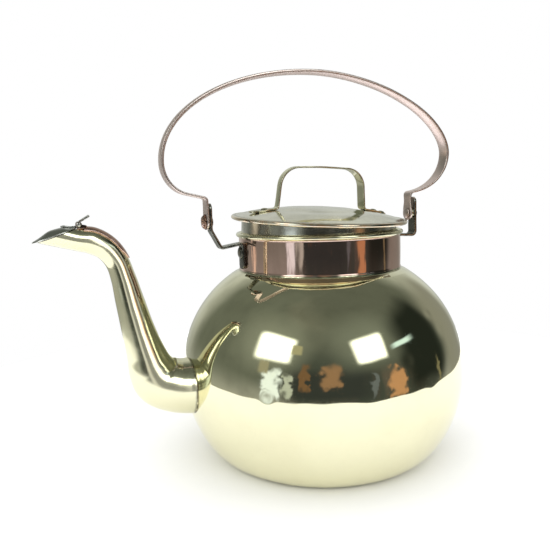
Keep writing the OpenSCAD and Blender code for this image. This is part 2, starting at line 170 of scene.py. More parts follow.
def surface(name, shells, **attributes):
    """One closed mesh from grids of points.

    A shell is (grid, loop): a grid of rings by points, in which each ring closes on itself, and
    either the last ring joins the first or both end rings close on their middle points.
    Attributes are one array per shell, in the same order, of a value for each grid point.
    """
    verts, faces, start, values = [], [], 0, {key: [] for key in attributes}
    for index, (grid, loop) in enumerate(shells):
        rings, points = grid.shape[:2]
        flat = grid.reshape(-1, 3)
        j, i = np.meshgrid(np.arange(rings if loop else rings - 1), np.arange(points), indexing="ij")
        k, l = (i + 1) % points, (j + 1) % rings
        quads = np.stack([j * points + i, j * points + k, l * points + k, l * points + i], -1)
        quads = quads.reshape(-1, 4)
        caps = np.zeros((0, 3), int)
        if not loop:
            flat = np.vstack([flat, grid[0].mean(0), grid[-1].mean(0)])
            around = np.arange(points)
            beside = (around + 1) % points
            low = np.stack([beside, around, np.full(points, rings * points)], -1)
            last = (rings - 1) * points
            high = np.stack([last + around, last + beside, np.full(points, rings * points + 1)], -1)
            caps = np.vstack([low, high])
        halves = np.vstack([quads[:, [0, 1, 2]], quads[:, [0, 2, 3]], caps])
        a, b, c = flat[halves[:, 0]], flat[halves[:, 1]], flat[halves[:, 2]]
        if np.einsum("ij,ij->i", a, np.cross(b, c)).sum() < 0:
            quads, caps = quads[:, ::-1], caps[:, ::-1]
        verts.append(flat)
        faces += (quads + start).tolist() + (caps + start).tolist()
        for key, arrays in attributes.items():
            value = np.broadcast_to(arrays[index], (rings, points)).reshape(-1)
            values[key].append(np.concatenate([value, np.full(len(flat) - len(value), value[-1])]))
        start += len(flat)
    mesh = bpy.data.meshes.new(name)
    mesh.from_pydata((np.vstack(verts) * MM).tolist(), [], faces)
    for key, value in values.items():
        layer = mesh.attributes.new(key, "FLOAT", "POINT")
        layer.data.foreach_set("value", np.concatenate(value).astype(np.float32))
    mesh.update()
    mesh.polygons.foreach_set("use_smooth", np.ones(len(mesh.polygons), bool))
    mesh.set_sharp_from_angle(angle=SHARP)
    obj = bpy.data.objects.new(name, mesh)
    bpy.context.scene.collection.objects.link(obj)
    return obj


def revolve(profile, count):
    """The closed or open outline (r, z) turned about the Z axis, one ring for each of its points."""
    a = np.linspace(0, 2 * np.pi, count, endpoint=False)
    r, z = profile[:, :1], profile[:, 1:]
    return np.stack([r * np.cos(a), r * np.sin(a), z + 0 * a], -1)


def strap_section(across=8, corner=4):
    """Round-edged strip of half sizes one: corner centres and offsets from them, point by point."""
    s = np.linspace(-1, 1, across)
    q = np.radians(np.linspace(0, 90, corner + 2)[1:-1])
    z, o = np.zeros(across), np.ones(across)
    cos, sin, e = np.cos(q), np.sin(q), np.ones(corner)
    cy = np.concatenate([s, e, e, -s, -e, -e])
    cn = np.concatenate([o, e, -e, -o, -e, e])
    oy = np.concatenate([z, sin, sin[::-1], z, -sin, -sin[::-1]])
    on = np.concatenate([o, cos, -cos[::-1], -o, -cos, cos[::-1]])
    return cy, cn, oy, on


def sweep(path, half_w, half_t, round_r=0.55, crown=0.0, shift=0.0, across=8):
    """A strip of half sizes half_w (along Y) and half_t carried along an XZ path.

    Its edges are rounded by round_r of the half thickness, and crown lifts both faces' middles.
    Returns the grid and, for each point, how near it is to an edge of the strip.
    """
    way = unit(np.gradient(path, axis=0))
    normal = np.stack([-way[:, 1], way[:, 0]], -1)
    cy, cn, oy, on = strap_section(across)
    w, t = np.broadcast_to(half_w, len(path))[:, None], np.broadcast_to(half_t, len(path))[:, None]
    r = np.minimum(t * round_r, w * 0.9)
    y = cy * (w - r) + oy * r + np.broadcast_to(shift, len(path))[:, None]
    n = cn * (t - r) + on * r + crown * cn * (1 - cy ** 2)
    grid = np.stack([path[:, :1] + n * normal[:, :1], y, path[:, 1:] + n * normal[:, 1:]], -1)
    return grid, smooth(np.abs(oy), 0.1, 0.6) + 0 * w


def dome_profile(shank, head_r, head_h, under_z, tail_z, tail_r, tail_h, steps=9):
    """Rivet outline (r, z): round head above under_z, shank, and flatter tail below tail_z."""
    a = np.linspace(0.06, 1, steps)
    bulge = np.stack([head_r * np.sin(a * np.pi / 2), under_z + head_h * np.cos(a * np.pi / 2)], -1)
    tail = np.stack([tail_r * np.sin(a * np.pi / 2), tail_z - tail_h * np.cos(a * np.pi / 2)], -1)
    return np.vstack([bulge, [[head_r * 0.97, under_z - 0.01], [shank, under_z - 0.02]],
                      [[shank, tail_z + 0.02], [tail_r * 0.97, tail_z + 0.01]], tail[::-1]])


def along_x(grid, x, z, side):
    """Turns a shape made about +Z so that its axis points along +X (side 1) or -X (side -1)."""
    return np.stack([x + side * grid[..., 2], grid[..., 1], z - grid[..., 0]], -1)


def slab(outline, low, high, bevel, rings=4):
    """The outline (k, 2) as a plate between two heights, with rounded edges, as rings of points."""
    outward = unit(outline - outline.mean(0))
    a = np.radians(np.linspace(0, 90, rings))
    side, face = bevel * (1 - np.sin(a)), bevel * (1 - np.cos(a))
    inset = np.concatenate([[bevel + 0.4], side, side[::-1], [bevel + 0.4]])
    height = np.concatenate([[low], low + face, high - face[::-1], [high]])
    grid = outline - outward * inset[:, None, None]
    return np.concatenate([grid, np.broadcast_to(height[:, None, None], grid.shape[:2] + (1,))], -1)


def bore(obj, centre, axis, radius, depth):
    """Drills a round hole of the given depth, centred on a point, through a finished mesh."""
    turn = Vector((0, 0, 1)).rotation_difference(Vector(axis)).to_matrix()
    profile = np.array([[radius, -depth / 2], [radius, depth / 2]])
    grid = revolve(profile, 64) @ np.array(turn).T + np.asarray(centre, float)
    cutter = surface("drill", [(grid, False)])
    cut = obj.modifiers.new("bore", "BOOLEAN")
    cut.operation, cut.solver, cut.object = "DIFFERENCE", "EXACT", cutter
    ready = obj.evaluated_get(bpy.context.evaluated_depsgraph_get())
    mesh, old, name = bpy.data.meshes.new_from_object(ready), obj.data, obj.data.name
    obj.modifiers.clear()
    obj.data = mesh
    bpy.data.meshes.remove(old)
    mesh.name = name
    mesh.set_sharp_from_angle(angle=SHARP)
    bpy.data.objects.remove(cutter)


def settle(obj, body, finish, node):
    """Gives a piece its finish, lets it ride on its body and stand for its CAD node."""
    obj.data.materials.clear()
    obj.data.materials.append(METALS[finish])
    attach(obj, body)
    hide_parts(node)


# ---- shader groups and metals ---------------------------------------------------------------

class Tree:
    """Short way to place shader nodes: values that are sockets are linked, others are set."""

    def __init__(self, tree):
        self.tree = tree

    def add(self, kind, values=None, **settings):
        node = self.tree.nodes.new(kind)
        for key, value in settings.items():
            setattr(node, key, value)
        for key, value in (values or {}).items():
            socket = node.inputs[key]
            if isinstance(value, bpy.types.NodeSocket):
                self.tree.links.new(value, socket)
            else:
                socket.default_value = value
        return node

    def math(self, operation, *values, clamp=False):
        node = self.add("ShaderNodeMath", dict(enumerate(values)), operation=operation)
        node.use_clamp = clamp
        return node.outputs[0]

    def vector(self, operation, *values):
        node = self.add("ShaderNodeVectorMath", dict(enumerate(values)), operation=operation)
        return node.outputs["Value" if operation == "DOT_PRODUCT" else "Vector"]

    def step(self, value, low, high):
        return self.add("ShaderNodeMapRange", {0: value, 1: low, 2: high, 3: 0.0, 4: 1.0},
                        interpolation_type="SMOOTHSTEP").outputs[0]

    def noise(self, vector, scale, detail=3.0, roughness=0.5):
        return self.add("ShaderNodeTexNoise", {"Vector": vector, "Scale": scale, "Detail": detail,
                                               "Roughness": roughness}).outputs["Fac"]

    def mix(self, factor, a, b):
        return self.add("ShaderNodeMix", {0: factor, 6: a, 7: b}, data_type="RGBA").outputs[2]

    def turned(self, vector, angles, scale):
        return self.add("ShaderNodeMapping", {"Vector": vector, "Rotation": angles,
                                              "Scale": scale}).outputs[0]

    def scaled(self, vector, scale):
        return self.add("ShaderNodeVectorMath", {0: vector, "Scale": scale},
                        operation="SCALE").outputs[0]


def new_group(name, inputs, outputs):
    """An empty shader node group with float, vector and colour sockets."""
    group = bpy.data.node_groups.new(name, "ShaderNodeTree")
    kinds = {"v": "NodeSocketVector", "f": "NodeSocketFloat", "c": "NodeSocketColor"}
    for word, kind, value in inputs:
        socket = group.interface.new_socket(word, in_out="INPUT", socket_type=kinds[kind])
        if value is not None:
            socket.default_value = value
    for word, kind in outputs:
        group.interface.new_socket(word, in_out="OUTPUT", socket_type=kinds[kind])
    tree = Tree(group)
    return group, tree, tree.add("NodeGroupInput").outputs, tree.add("NodeGroupOutput").inputs


def polish_group():
    """Polishing marks: sparse fine scratches in three directions and broad hand smudges."""
    group, t, given, out = new_group("polish marks", [
        ("Vector", "v", None), ("Scale", "f", 1.0), ("Scratches", "f", 0.5), ("Smudges", "f", 0.5)],
        [("Height", "f"), ("Roughness", "f")])
    place = t.scaled(given["Vector"], given["Scale"])
    lines = None
    for angles, stretch, low in (((0.4, 0.2, 0.5), (60, 1400, 60), 0.66),
                                 ((1.1, 0.7, 2.0), (900, 40, 70), 0.68),
                                 ((0.2, 1.4, 1.1), (50, 60, 1100), 0.67)):
        line = t.step(t.noise(t.turned(place, angles, stretch), 1.0, 2.0), low, low + 0.06)
        lines = line if lines is None else t.math("MAXIMUM", lines, line)
    smudge = t.step(t.noise(place, 38.0, 4.0, 0.62), 0.42, 0.72)
    t.tree.links.new(t.math("MULTIPLY", lines, given["Scratches"]), out["Height"])
    rough = t.math("ADD", t.math("MULTIPLY", lines, given["Scratches"]),
                   t.math("MULTIPLY", smudge, given["Smudges"]), clamp=True)
    t.tree.links.new(rough, out["Roughness"])
    return group


def tarnish_group():
    """Tarnish: soft cloudy patches, fine mottling and small dark spots over the clean colour."""
    group, t, given, out = new_group("tarnish", [
        ("Vector", "v", None), ("Clean", "c", None), ("Tarnished", "c", None),
        ("Amount", "f", 0.4), ("Scale", "f", 1.0)], [("Color", "c"), ("Mask", "f")])
    place = t.scaled(given["Vector"], given["Scale"])
    cloud = t.step(t.noise(place, 22.0, 5.0, 0.6), 0.40, 0.78)
    mottle = t.step(t.noise(place, 190.0, 4.0, 0.7), 0.52, 0.75)
    spots = t.step(t.noise(place, 420.0, 1.0), 0.76, 0.80)
    mask = t.math("ADD", t.math("MULTIPLY", cloud, 0.75), t.math("MULTIPLY", mottle, 0.3))
    mask = t.math("MULTIPLY", t.math("ADD", mask, t.math("MULTIPLY", spots, 0.8)),
                  given["Amount"], clamp=True)
    t.tree.links.new(mask, out["Mask"])
    t.tree.links.new(t.mix(mask, given["Clean"], given["Tarnished"]), out["Color"])
    return group


def hammer_group():
    """Hammer marks and pits: soft round facets with small sunk pits between them."""
    group, t, given, out = new_group("hammer marks", [
        ("Vector", "v", None), ("Scale", "f", 300.0), ("Pits", "f", 0.5)], [("Height", "f")])
    cells = t.add("ShaderNodeTexVoronoi", {"Vector": given["Vector"], "Scale": given["Scale"]},
                  feature="SMOOTH_F1").outputs["Distance"]
    pits = t.step(t.noise(given["Vector"], 700.0, 2.0), 0.62, 0.75)
    height = t.math("SUBTRACT", cells, t.math("MULTIPLY", pits, given["Pits"]))
    t.tree.links.new(height, out["Height"])
    return group


def shade(look, value):
    """A colour with its alpha; a name stands for the colour that the user sets."""
    return tuple(getattr(look, value) if isinstance(value, str) else value) + (1,)


def metal(look, finish):
    """A worked metal: tarnish in the colour, polishing marks in roughness and relief, worn edges, and
    grime with painted shade.
    """
    (clean, tarnished, rough, amount, scratches, smudges, relief, hammer, hammer_scale, pits, worn,
     grime, scale) = FINISHES[finish]
    clean, tarnished, worn, grime = (shade(look, v) for v in (clean, tarnished, worn, grime))
    made = bpy.data.materials.new(finish)
    made.use_nodes = True
    made.node_tree.nodes.clear()
    t = Tree(made.node_tree)
    place = t.add("ShaderNodeTexCoord").outputs["Object"]
    groups = bpy.data.node_groups
    patina = t.add("ShaderNodeGroup", {"Vector": place, "Clean": clean, "Tarnished": tarnished,
                                       "Amount": amount, "Scale": scale},
                   node_tree=groups["tarnish"])
    polish = t.add("ShaderNodeGroup", {"Vector": place, "Scale": scale, "Scratches": scratches,
                                       "Smudges": smudges}, node_tree=groups["polish marks"])
    colour = patina.outputs["Color"]
    edge = t.add("ShaderNodeAttribute", attribute_name="edge").outputs["Fac"]
    # This mask darkens the colour in patches: some grime, and painted shade in joins, crevices, hollows
    # and insides.
    dirt_and_painted_shade = t.add("ShaderNodeAttribute", attribute_name="grime").outputs["Fac"]
    uneven = t.math("MULTIPLY", edge, t.step(t.noise(place, 260.0, 3.0), 0.30, 0.62))
    patchy = t.math("MULTIPLY", dirt_and_painted_shade, t.step(t.noise(place, 330.0, 4.0), 0.25, 0.60))
    colour = t.mix(patchy, t.mix(uneven, colour, worn), grime)
    rougher = t.math("MAXIMUM", polish.outputs["Roughness"],
                     t.math("MULTIPLY", patina.outputs["Mask"], 0.6))
    rougher = t.math("MAXIMUM", rougher, dirt_and_painted_shade)
    roughness = t.add("ShaderNodeMapRange", {0: rougher, 1: 0.0, 2: 1.0, 3: rough[0],
                                             4: rough[1]}).outputs[0]
    height = t.math("MULTIPLY", polish.outputs["Height"], -0.04)
    marks = t.add("ShaderNodeGroup", {"Vector": place, "Scale": hammer_scale, "Pits": pits},
                  node_tree=groups["hammer marks"])
    height = t.math("ADD", height, t.math("MULTIPLY", marks.outputs["Height"], hammer))
    bump = t.add("ShaderNodeBump", {"Height": height, "Strength": 1.0, "Distance": relief * MM})
    shader = t.add("ShaderNodeBsdfPrincipled", {"Base Color": colour, "Roughness": roughness,
                                                "Metallic": 1.0, "Normal": bump.outputs[0]})
    t.add("ShaderNodeOutputMaterial", {"Surface": shader.outputs[0]})
    return made


# Colour of grime and painted shade.
DARK = (0.09, 0.075, 0.045)
FINISHES = {  # clean, tarnish, roughness, tarnish share, scratches, smudges, relief in mm,
    #                     hammering, hammer scale, pits, worn edge, colour of grime and painted shade,
    #                     scale; a name is a user's colour
    "polished_brass": ("brass", "brass_tarnish", (0.035, 0.16), 0.32, 0.35, 0.5, 0.02,
                       0.03, 120.0, 0.5, "brass", DARK, 1.0),
    "old_brass": ("brass", "brass_tarnish", (0.10, 0.34), 0.7, 0.8, 0.7, 0.03,
                  0.10, 260.0, 0.8, (0.86, 0.80, 0.60), DARK, 1.0),
    "lid_brass": ((0.86, 0.83, 0.70), (0.50, 0.48, 0.41), (0.08, 0.30), 0.75, 0.5, 0.6, 0.03,
                  0.06, 210.0, 0.9, (0.93, 0.74, 0.55), DARK, 1.8),
    "dark_brass": ((0.19, 0.19, 0.165), (0.07, 0.07, 0.062), (0.16, 0.42), 0.8, 0.6, 0.6, 0.03,
                   0.08, 340.0, 0.8, (0.42, 0.41, 0.36), (0.03, 0.03, 0.028), 1.0),
    "spout_brass": ("brass", "brass_tarnish", (0.12, 0.26), 0.35, 0.45, 0.5, 0.03,
                    0.05, 120.0, 0.5, "brass", DARK, 1.0),
    # The skirt's brass is greyer and darker than the lid's; the darkness is painted shade in the gap
    # under the lid's rim.
    "plug_brass": ((0.66, 0.64, 0.55), (0.34, 0.32, 0.28), (0.14, 0.36), 0.8, 0.6, 0.6, 0.03,
                   0.06, 210.0, 0.8, "brass", DARK, 1.0),
    "copper": ("copper", "copper_tarnish", (0.30, 0.46), 0.22, 0.5, 0.5, 0.03,
               0.05, 160.0, 0.6, (0.95, 0.82, 0.78), (0.10, 0.05, 0.035), 1.0),
    "band_copper": ((0.78, 0.55, 0.47), (0.48, 0.29, 0.24), (0.04, 0.16), 0.45, 0.3, 0.5, 0.02,
                    0.03, 130.0, 0.4, (0.93, 0.74, 0.66), (0.12, 0.06, 0.04), 1.0),
    "brown_copper": ((0.45, 0.27, 0.20), (0.16, 0.09, 0.06), (0.10, 0.34), 0.6, 0.6, 0.6, 0.03,
                     0.10, 260.0, 0.8, (0.86, 0.62, 0.58), (0.06, 0.04, 0.03), 1.0),
    "tinned": ((0.52, 0.52, 0.49), (0.30, 0.29, 0.26), (0.20, 0.45), 0.6, 0.7, 0.6, 0.03,
               0.10, 420.0, 0.8, (0.80, 0.80, 0.77), DARK, 1.0),
    "steel": ((0.56, 0.56, 0.54), (0.25, 0.22, 0.18), (0.2, 0.5), 0.6, 0.6, 0.5, 0.03,
              0.0, 300.0, 0.4, (0.7, 0.7, 0.68), DARK, 1.0),
}
METALS = {}


# ---- settings -------------------------------------------------------------------------------

def tint(name, description, default):
    """A colour that the user can set."""
    return bpy.props.FloatVectorProperty(name=name, description=description, subtype="COLOR",
                                         size=3, min=0, max=1, default=default)


class KettleLook(bpy.types.PropertyGroup):
    """Colours and hand-work of the sheet metal."""

    brass: tint("Brass", "Colour of the clean brass", (0.89, 0.86, 0.62))
    brass_tarnish: tint("Tarnished brass", "Colour of the brass's tarnish", (0.72, 0.68, 0.44))
    copper: tint("Copper", "Colour of the bail handle's clean copper", (0.95, 0.78, 0.74))
    copper_tarnish: tint("Tarnished copper", "Colour of the handle's tarnish", (0.58, 0.37, 0.30))
    dents: bpy.props.FloatProperty(
        name="Dents", description="Depth of the dents in the body", unit="LENGTH",
        min=0, max=0.0006, default=0.00022)


class KettleStage(bpy.types.PropertyGroup):
    """Floor, surroundings and camera."""

    floor_radius: bpy.props.FloatProperty(
        name="Floor radius", description="Radius of the pale floor", unit="LENGTH",
        min=0.3, max=2, default=0.40)
    daylight: bpy.props.FloatProperty(
        name="Daylight", description="Brightness of the soft light on the floor",
        min=0, max=5, default=1.45)
    lens: bpy.props.FloatProperty(
        name="Lens", description="Focal length on a 36 mm wide sensor", unit="CAMERA",
        min=20, max=100, default=37.96)


# ---- body, base and neck --------------------------------------------------------------------

DENTS = (  # degrees round the axis, height, radius, depth in parts of the look's dent depth
    (-128, 121, 5, 0.9), (-150, 92, 6, 0.7), (-84, 84, 5, 0.8),
    (-118, 100, 7, 0.6), (-60, 96, 6, 0.8), (-42, 84, 8, 1.0), (-64, 106, 4, 0.7),
    (-100, 70, 9, 0.6), (-135, 66, 5, 0.9), (-75, 68, 7, 0.8), (20, 88, 9, 1.0),
    (75, 100, 7, 0.9), (130, 74, 10, 1.0), (160, 110, 6, 0.8), (48, 40, 8, 0.7),
    (-110, 30, 9, 0.6), (-30, 62, 6, 0.7), (100, 50, 8, 0.8), (-160, 120, 5, 0.8),
)


def dented(grid, depth):
    """Sinks the outer wall: gentle waves of the sheet, and one round hollow for each dent."""
    outward = unit(np.concatenate([grid[..., :2], (grid[..., 2:] - BELLY_Z) * 0.9], -1))
    sink = 0.05 * (1 + waves(grid, 46.0, 7)) + 0.012 * (1 + waves(grid, 15.0, 11))
    for turn, z, radius, part in DENTS:
        a = math.radians(turn)
        rise = max(z - BELLY_Z, 0) / SHOULDER_H
        r = BELLY_R * (1 - rise ** SHOULDER_POWER) ** (1 / SHOULDER_POWER) if rise else 98.0
        middle = np.array([r * math.cos(a), r * math.sin(a), z])
        far = np.linalg.norm(grid - middle, axis=-1) / radius
        sink = sink + depth * part * np.exp(-far ** 2 * 1.6)
    return grid - outward * sink[..., None]


class KETTLE_OT_body(bpy.types.Operator):
    """Spun body with its dents and the flat base"""

    bl_idname = "kettle.body"
    bl_label = "Body"

    def execute(self, context):
        depth = context.scene.kettle_look.dents / MM
        low = under(np.linspace(np.pi / 2, 0, 62)[:-1])
        high = shoulder(np.linspace(0, NECK_A, 110))
        keep = high[high[:, 0] > 61.2]
        slope = unit(keep[-1] - keep[-2])
        corner = keep[-1] + slope * (keep[-1, 0] - 57.3) / abs(slope[0]) + np.array([0, -0.75])
        bend = fillet(keep[-1], corner, corner + [0, 6], 1.9, 12)
        outer = np.vstack([[[BASE_HOLE + 0.02, 0.0], [68.0, 0.0]], low, keep, bend,
                           [[57.3, NECK_Z - 0.05]]])
        inner_high = shoulder(np.linspace(NECK_A, 0, 46), SHEET)
        inner_low = under(np.linspace(0, np.pi / 2, 26)[1:], SHEET)
        lip = np.array([[NECK_R + 0.05, NECK_Z - 0.05], [NECK_R - 0.02, NECK_Z + 0.3],
                        [NECK_R - 0.02, NECK_Z + 5.6], [NECK_R - 0.4, NECK_Z + 6.0],
                        [NECK_R - SHEET + 0.2, NECK_Z + 6.0], [NECK_R - SHEET, NECK_Z + 5.7]])
        inner_high = inner_high[inner_high[:, 0] > NECK_R - SHEET + 0.1]
        profile = np.vstack([outer, lip, inner_high, inner_low, [[BASE_HOLE + 0.02, SHEET]]])
        grid = revolve(profile, 360)
        wall = len(outer) - 3
        fade = smooth(np.arange(wall), 2, 12) * smooth(np.arange(wall)[::-1], 3, 16)
        sunk = dented(grid[:wall], depth)
        grid[:wall] += (sunk - grid[:wall]) * fade[:, None, None]
        # Grime with painted shade: darker where the shoulder turns into the neck, towards the bottom
        # edge over the floor, and over the whole inner wall.
        grime = np.zeros(grid.shape[:2])
        grime[wall - 12:wall + 3] = smooth(np.arange(15), 0, 14)[:, None] * 0.7
        grime[:14] = smooth(np.arange(14)[::-1], 0, 13)[:, None] * 0.8
        grime[len(outer) + len(lip):] = 0.5
        body = surface("body", [(grid, True)], grime=[grime], edge=[0.0])
        bore(body, (-95, 0, 57), (1, 0, 0), 14.0, 40)
        settle(body, "vessel", "polished_brass", "body_shell")
        for node, finish in (("base_disc", "old_brass"), ("neck_rim_wire", "steel"),
                             ("flap_hinge_pin", "steel"), ("lid_edge_wire", "steel")):
            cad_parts[node].material_slots[0].material = METALS[finish]
        return {"FINISHED"}


class KETTLE_OT_neck(bpy.types.Operator):
    """Neck ring with its rolled rim, and the copper band round it"""

    bl_idname = "kettle.neck"
    bl_label = "Neck ring and band"

    def execute(self, context):
        profile = np.vstack([
            np.linspace([NECK_R + NECK_T, NECK_Z], [NECK_R + NECK_T, RIM_Z - 1.5], 12),
            arc((NECK_R + RIM_BEAD, RIM_Z), RIM_BEAD, -122, 180, 40),
            np.linspace([NECK_R, RIM_Z], [NECK_R, NECK_Z], 14)[1:]])
        grid = revolve(profile, 300)
        grid[..., 2] += 0.10 * waves(grid * [1, 1, 0], 70.0, 3) * smooth(grid[..., 2], RIM_Z - 6, RIM_Z)
        # The ring darkens towards its join with the body: painted shade with some grime.
        ring = surface("neck_rim", [(grid, True)],
                       grime=[smooth(-profile[:, 1:], -NECK_Z - 20, -NECK_Z)],
                       edge=[smooth(profile[:, 1:], RIM_Z + 0.2, RIM_Z + 1.2)])
        settle(ring, "vessel", "polished_brass", "neck_ring")

        inner, outer, high = BAND_R - BAND_T, BAND_R, BAND_TOP - 0.9
        face = np.linspace(NECK_Z + 1.3, high, 40)
        swell = 0.10 * np.sin((face - NECK_Z) / (high - NECK_Z) * np.pi)
        side = np.stack([outer - 0.16 + swell, face], -1)
        lip = np.array([[outer - 0.5, NECK_Z - 0.1], [outer - 0.1, NECK_Z - 0.12],
                        [outer + 0.16, NECK_Z + 0.1], [outer + 0.2, NECK_Z + 0.42],
                        [outer + 0.08, NECK_Z + 0.78], [outer - 0.1, NECK_Z + 1.0]])
        top = np.array([[outer - 0.14, high + 0.3], [outer - 0.05, high + 0.5],
                        [outer - 0.02, high + 0.7], [outer - 0.14, BAND_TOP],
                        [outer - 0.35, BAND_TOP + 0.05], [inner + 0.02, BAND_TOP]])
        profile = np.vstack([lip, side, top, [[inner + 0.01, 150.0], [inner + 0.01, NECK_Z + 1]]])
        grid = revolve(profile, 400)
        outward = unit(grid * [1, 1, 0])
        ripple = 0.05 * waves(grid * [1, 1, 0.25], 17.0, 21) + 0.04 * waves(grid * [1, 1, 0.4], 34.0, 5)
        grid += outward * ((ripple - 0.06) * (profile[:, :1] > inner + 0.1))[..., None]
        edge = np.maximum(smooth(-profile[:, 1:], -NECK_Z - 1.0, -NECK_Z - 0.4),
                          smooth(profile[:, 1:], high + 0.3, high + 0.7))
        # The band's lower lip, where it meets the body, is darker: painted shade with some grime.
        band = surface("neck_band", [(grid, True)], edge=[edge],
                       grime=[smooth(-profile[:, 1:], -NECK_Z - 0.15, -NECK_Z) * 0.8])
        settle(band, "vessel", "band_copper", "copper_band")
        return {"FINISHED"}


# ---- spout ----------------------------------------------------------------------------------

STATIONS = np.array([  # x, z, half height, half width, from the root to the mouth
    [-86, 56.2, 18.8, 19.5], [-98, 57, 18.6, 19], [-109, 58.9, 17.9, 18],
    [-118.5, 63.8, 17.2, 16.2], [-123.4, 72, 15.2, 14.3], [-126.6, 83, 12.6, 12.3],
    [-130.5, 99, 10.5, 10.5], [-134.4, 117.2, 9.1, 9], [-137.6, 132.5, 7.8, 7.8],
    [-141.1, 144, 7.3, 7.3], [-146.8, 152.3, 7.5, 7.6], [-155, 157.3, 7.9, 8.1],
    [-164.2, 159.2, 7.2, 8.2], [-176.8, 163, 7.5, 8.2], [-190.3, 167, 7.5, 7.9]], float)
STRAP_U = (8.9, 11.65)           # stations where the copper strap starts and ends


def spline(u):
    """Catmull-Rom curve through the spout's stations at u, counted in stations."""
    last = len(STATIONS) - 1
    i = np.clip(np.floor(u).astype(int), 0, last - 1)
    t = (u - i)[..., None]
    a, b = STATIONS[np.maximum(i - 1, 0)], STATIONS[i]
    c, d = STATIONS[i + 1], STATIONS[np.minimum(i + 2, last)]
    return 0.5 * (2 * b + (c - a) * t + (2 * a - 5 * b + 4 * c - d) * t ** 2
                  + (3 * b - a - 3 * c + d) * t ** 3)


def spout_point(u, a, t=0.0):
    """Point of the spout's wall at station u and angle a round the section, t inside its face."""
    last = len(STATIONS) - 1
    s = spline(u)
    way = unit((spline(np.minimum(u + 0.05, last)) - spline(np.maximum(u - 0.05, 0)))[..., :2])
    h, w = (s[..., 2] - t) * np.cos(a), (s[..., 3] - t) * np.sin(a)
    return np.stack([s[..., 0] + way[..., 1] * h, w, s[..., 1] - way[..., 0] * h], -1)


def spout_wall(t, sides, rings, start_gap):
    """One face of the spout from the body's surface to the slanted mouth.

    For each angle the line along the spout is searched for where it leaves the body and where
    it meets the mouth's plane, and the rings are spread evenly between the two.
    """
    a = np.linspace(0, 2 * np.pi, sides, endpoint=False)
    u = np.linspace(0, len(STATIONS) - 1, 3200)[:, None] + 0 * a
    p = spout_point(u, a + 0 * u, t)
    outside = inside_body(p) > start_gap
    first = u[np.argmax(outside, axis=0), 0]
    along = MOUTH_BACK - MOUTH_TIP
    above = (p[..., 2] - MOUTH_TIP[1]) * along[0] > (p[..., 0] - MOUTH_TIP[0]) * along[1]
    above &= u > 8
    last = np.where(above.any(0), u[np.argmax(above, axis=0), 0], len(STATIONS) - 1)
    s = np.linspace(0, 1, rings)[:, None]
    u = first + (last - first) * (s - 0.05 * np.sin(2 * np.pi * s))
    return spout_point(u, a + 0 * u, t), u


class KETTLE_OT_spout(bpy.types.Operator):
    """Gooseneck spout, open from the body to its slanted mouth"""

    bl_idname = "kettle.spout"
    bl_label = "Spout"

    def execute(self, context):
        rings = 240
        outer, u = spout_wall(0.0, 120, rings, -0.006)
        inner, _ = spout_wall(SHEET, 120, 90, -0.004)
        centre = spline(u)
        middle = np.stack([centre[..., 0], 0 * u, centre[..., 1]], -1)
        outward = unit(outer - middle)
        sink = 0.05 + 0.05 * waves(outer, 24.0, 4) + 0.02 * waves(outer, 9.0, 14)
        grid = outer - outward * (sink * smooth(np.arange(rings), 2, 10)[:, None])[..., None]
        k = np.linspace(0, 1, 5)[1:-1, None, None]
        lip = outer[-1] + (inner[-1] - outer[-1]) * k
        grid = np.vstack([grid, lip, inner[::-1]])
        ring = np.arange(len(grid))
        # Darker at the root where the spout meets the body, and over the mouth's lip and inner wall:
        # painted shade with some grime.
        grime = np.where(ring < rings, 1 - smooth(ring, 0, 5), 0.6)[:, None]
        edge = np.where(np.abs(ring - rings) < 3, 1.0, 0.0)[:, None]
        spout = surface("spout_tube", [(grid, True)], grime=[grime], edge=[edge])
        settle(spout, "vessel", "spout_brass", "spout")
        return {"FINISHED"}


def strap_over_spout():
    """Copper strap bent over the spout: its outer face, then its inner face, ring by ring."""
    u = STRAP_U[0] + (STRAP_U[1] - STRAP_U[0]) * np.linspace(0, 1, 60)[:, None]
    tail = smooth(u, STRAP_U[0] - 0.04, STRAP_U[0] + 0.6) * 0.55 + 0.45
    half = np.radians(38) * tail
    s = np.linspace(-1, 1, 26)
    q = np.radians(np.linspace(90, -90, 8)[1:-1])
    outer = spout_point(u + 0 * s, half * s, -0.85)
    inner = spout_point(u + 0 * s, half * s, 0.06)[:, ::-1]
    rim = []
    for sign in (1, -1):
        t = -0.395 - 0.455 * np.sin(q) * sign
        rim.append(spout_point(u + 0 * q, sign * (half + 0.06 * np.cos(q)), t))
    grid = np.concatenate([outer, rim[0], inner, rim[1]], 1)
    edge = np.concatenate([smooth(np.abs(s), 0.86, 0.97), np.ones(6), np.zeros(26), np.ones(6)])
    return grid, edge + 0 * u


def flap_rise(s, out):
    """Height of the flap's dome at s mm down from the pin and out, from 0 at its middle to 1."""
    bowl = 1 - np.clip(out, 0, 1) ** 2.2
    return 3.1 * bowl * smooth(s, 2.2, 9.5) * (1 - 0.45 * smooth(s, 16, 27))


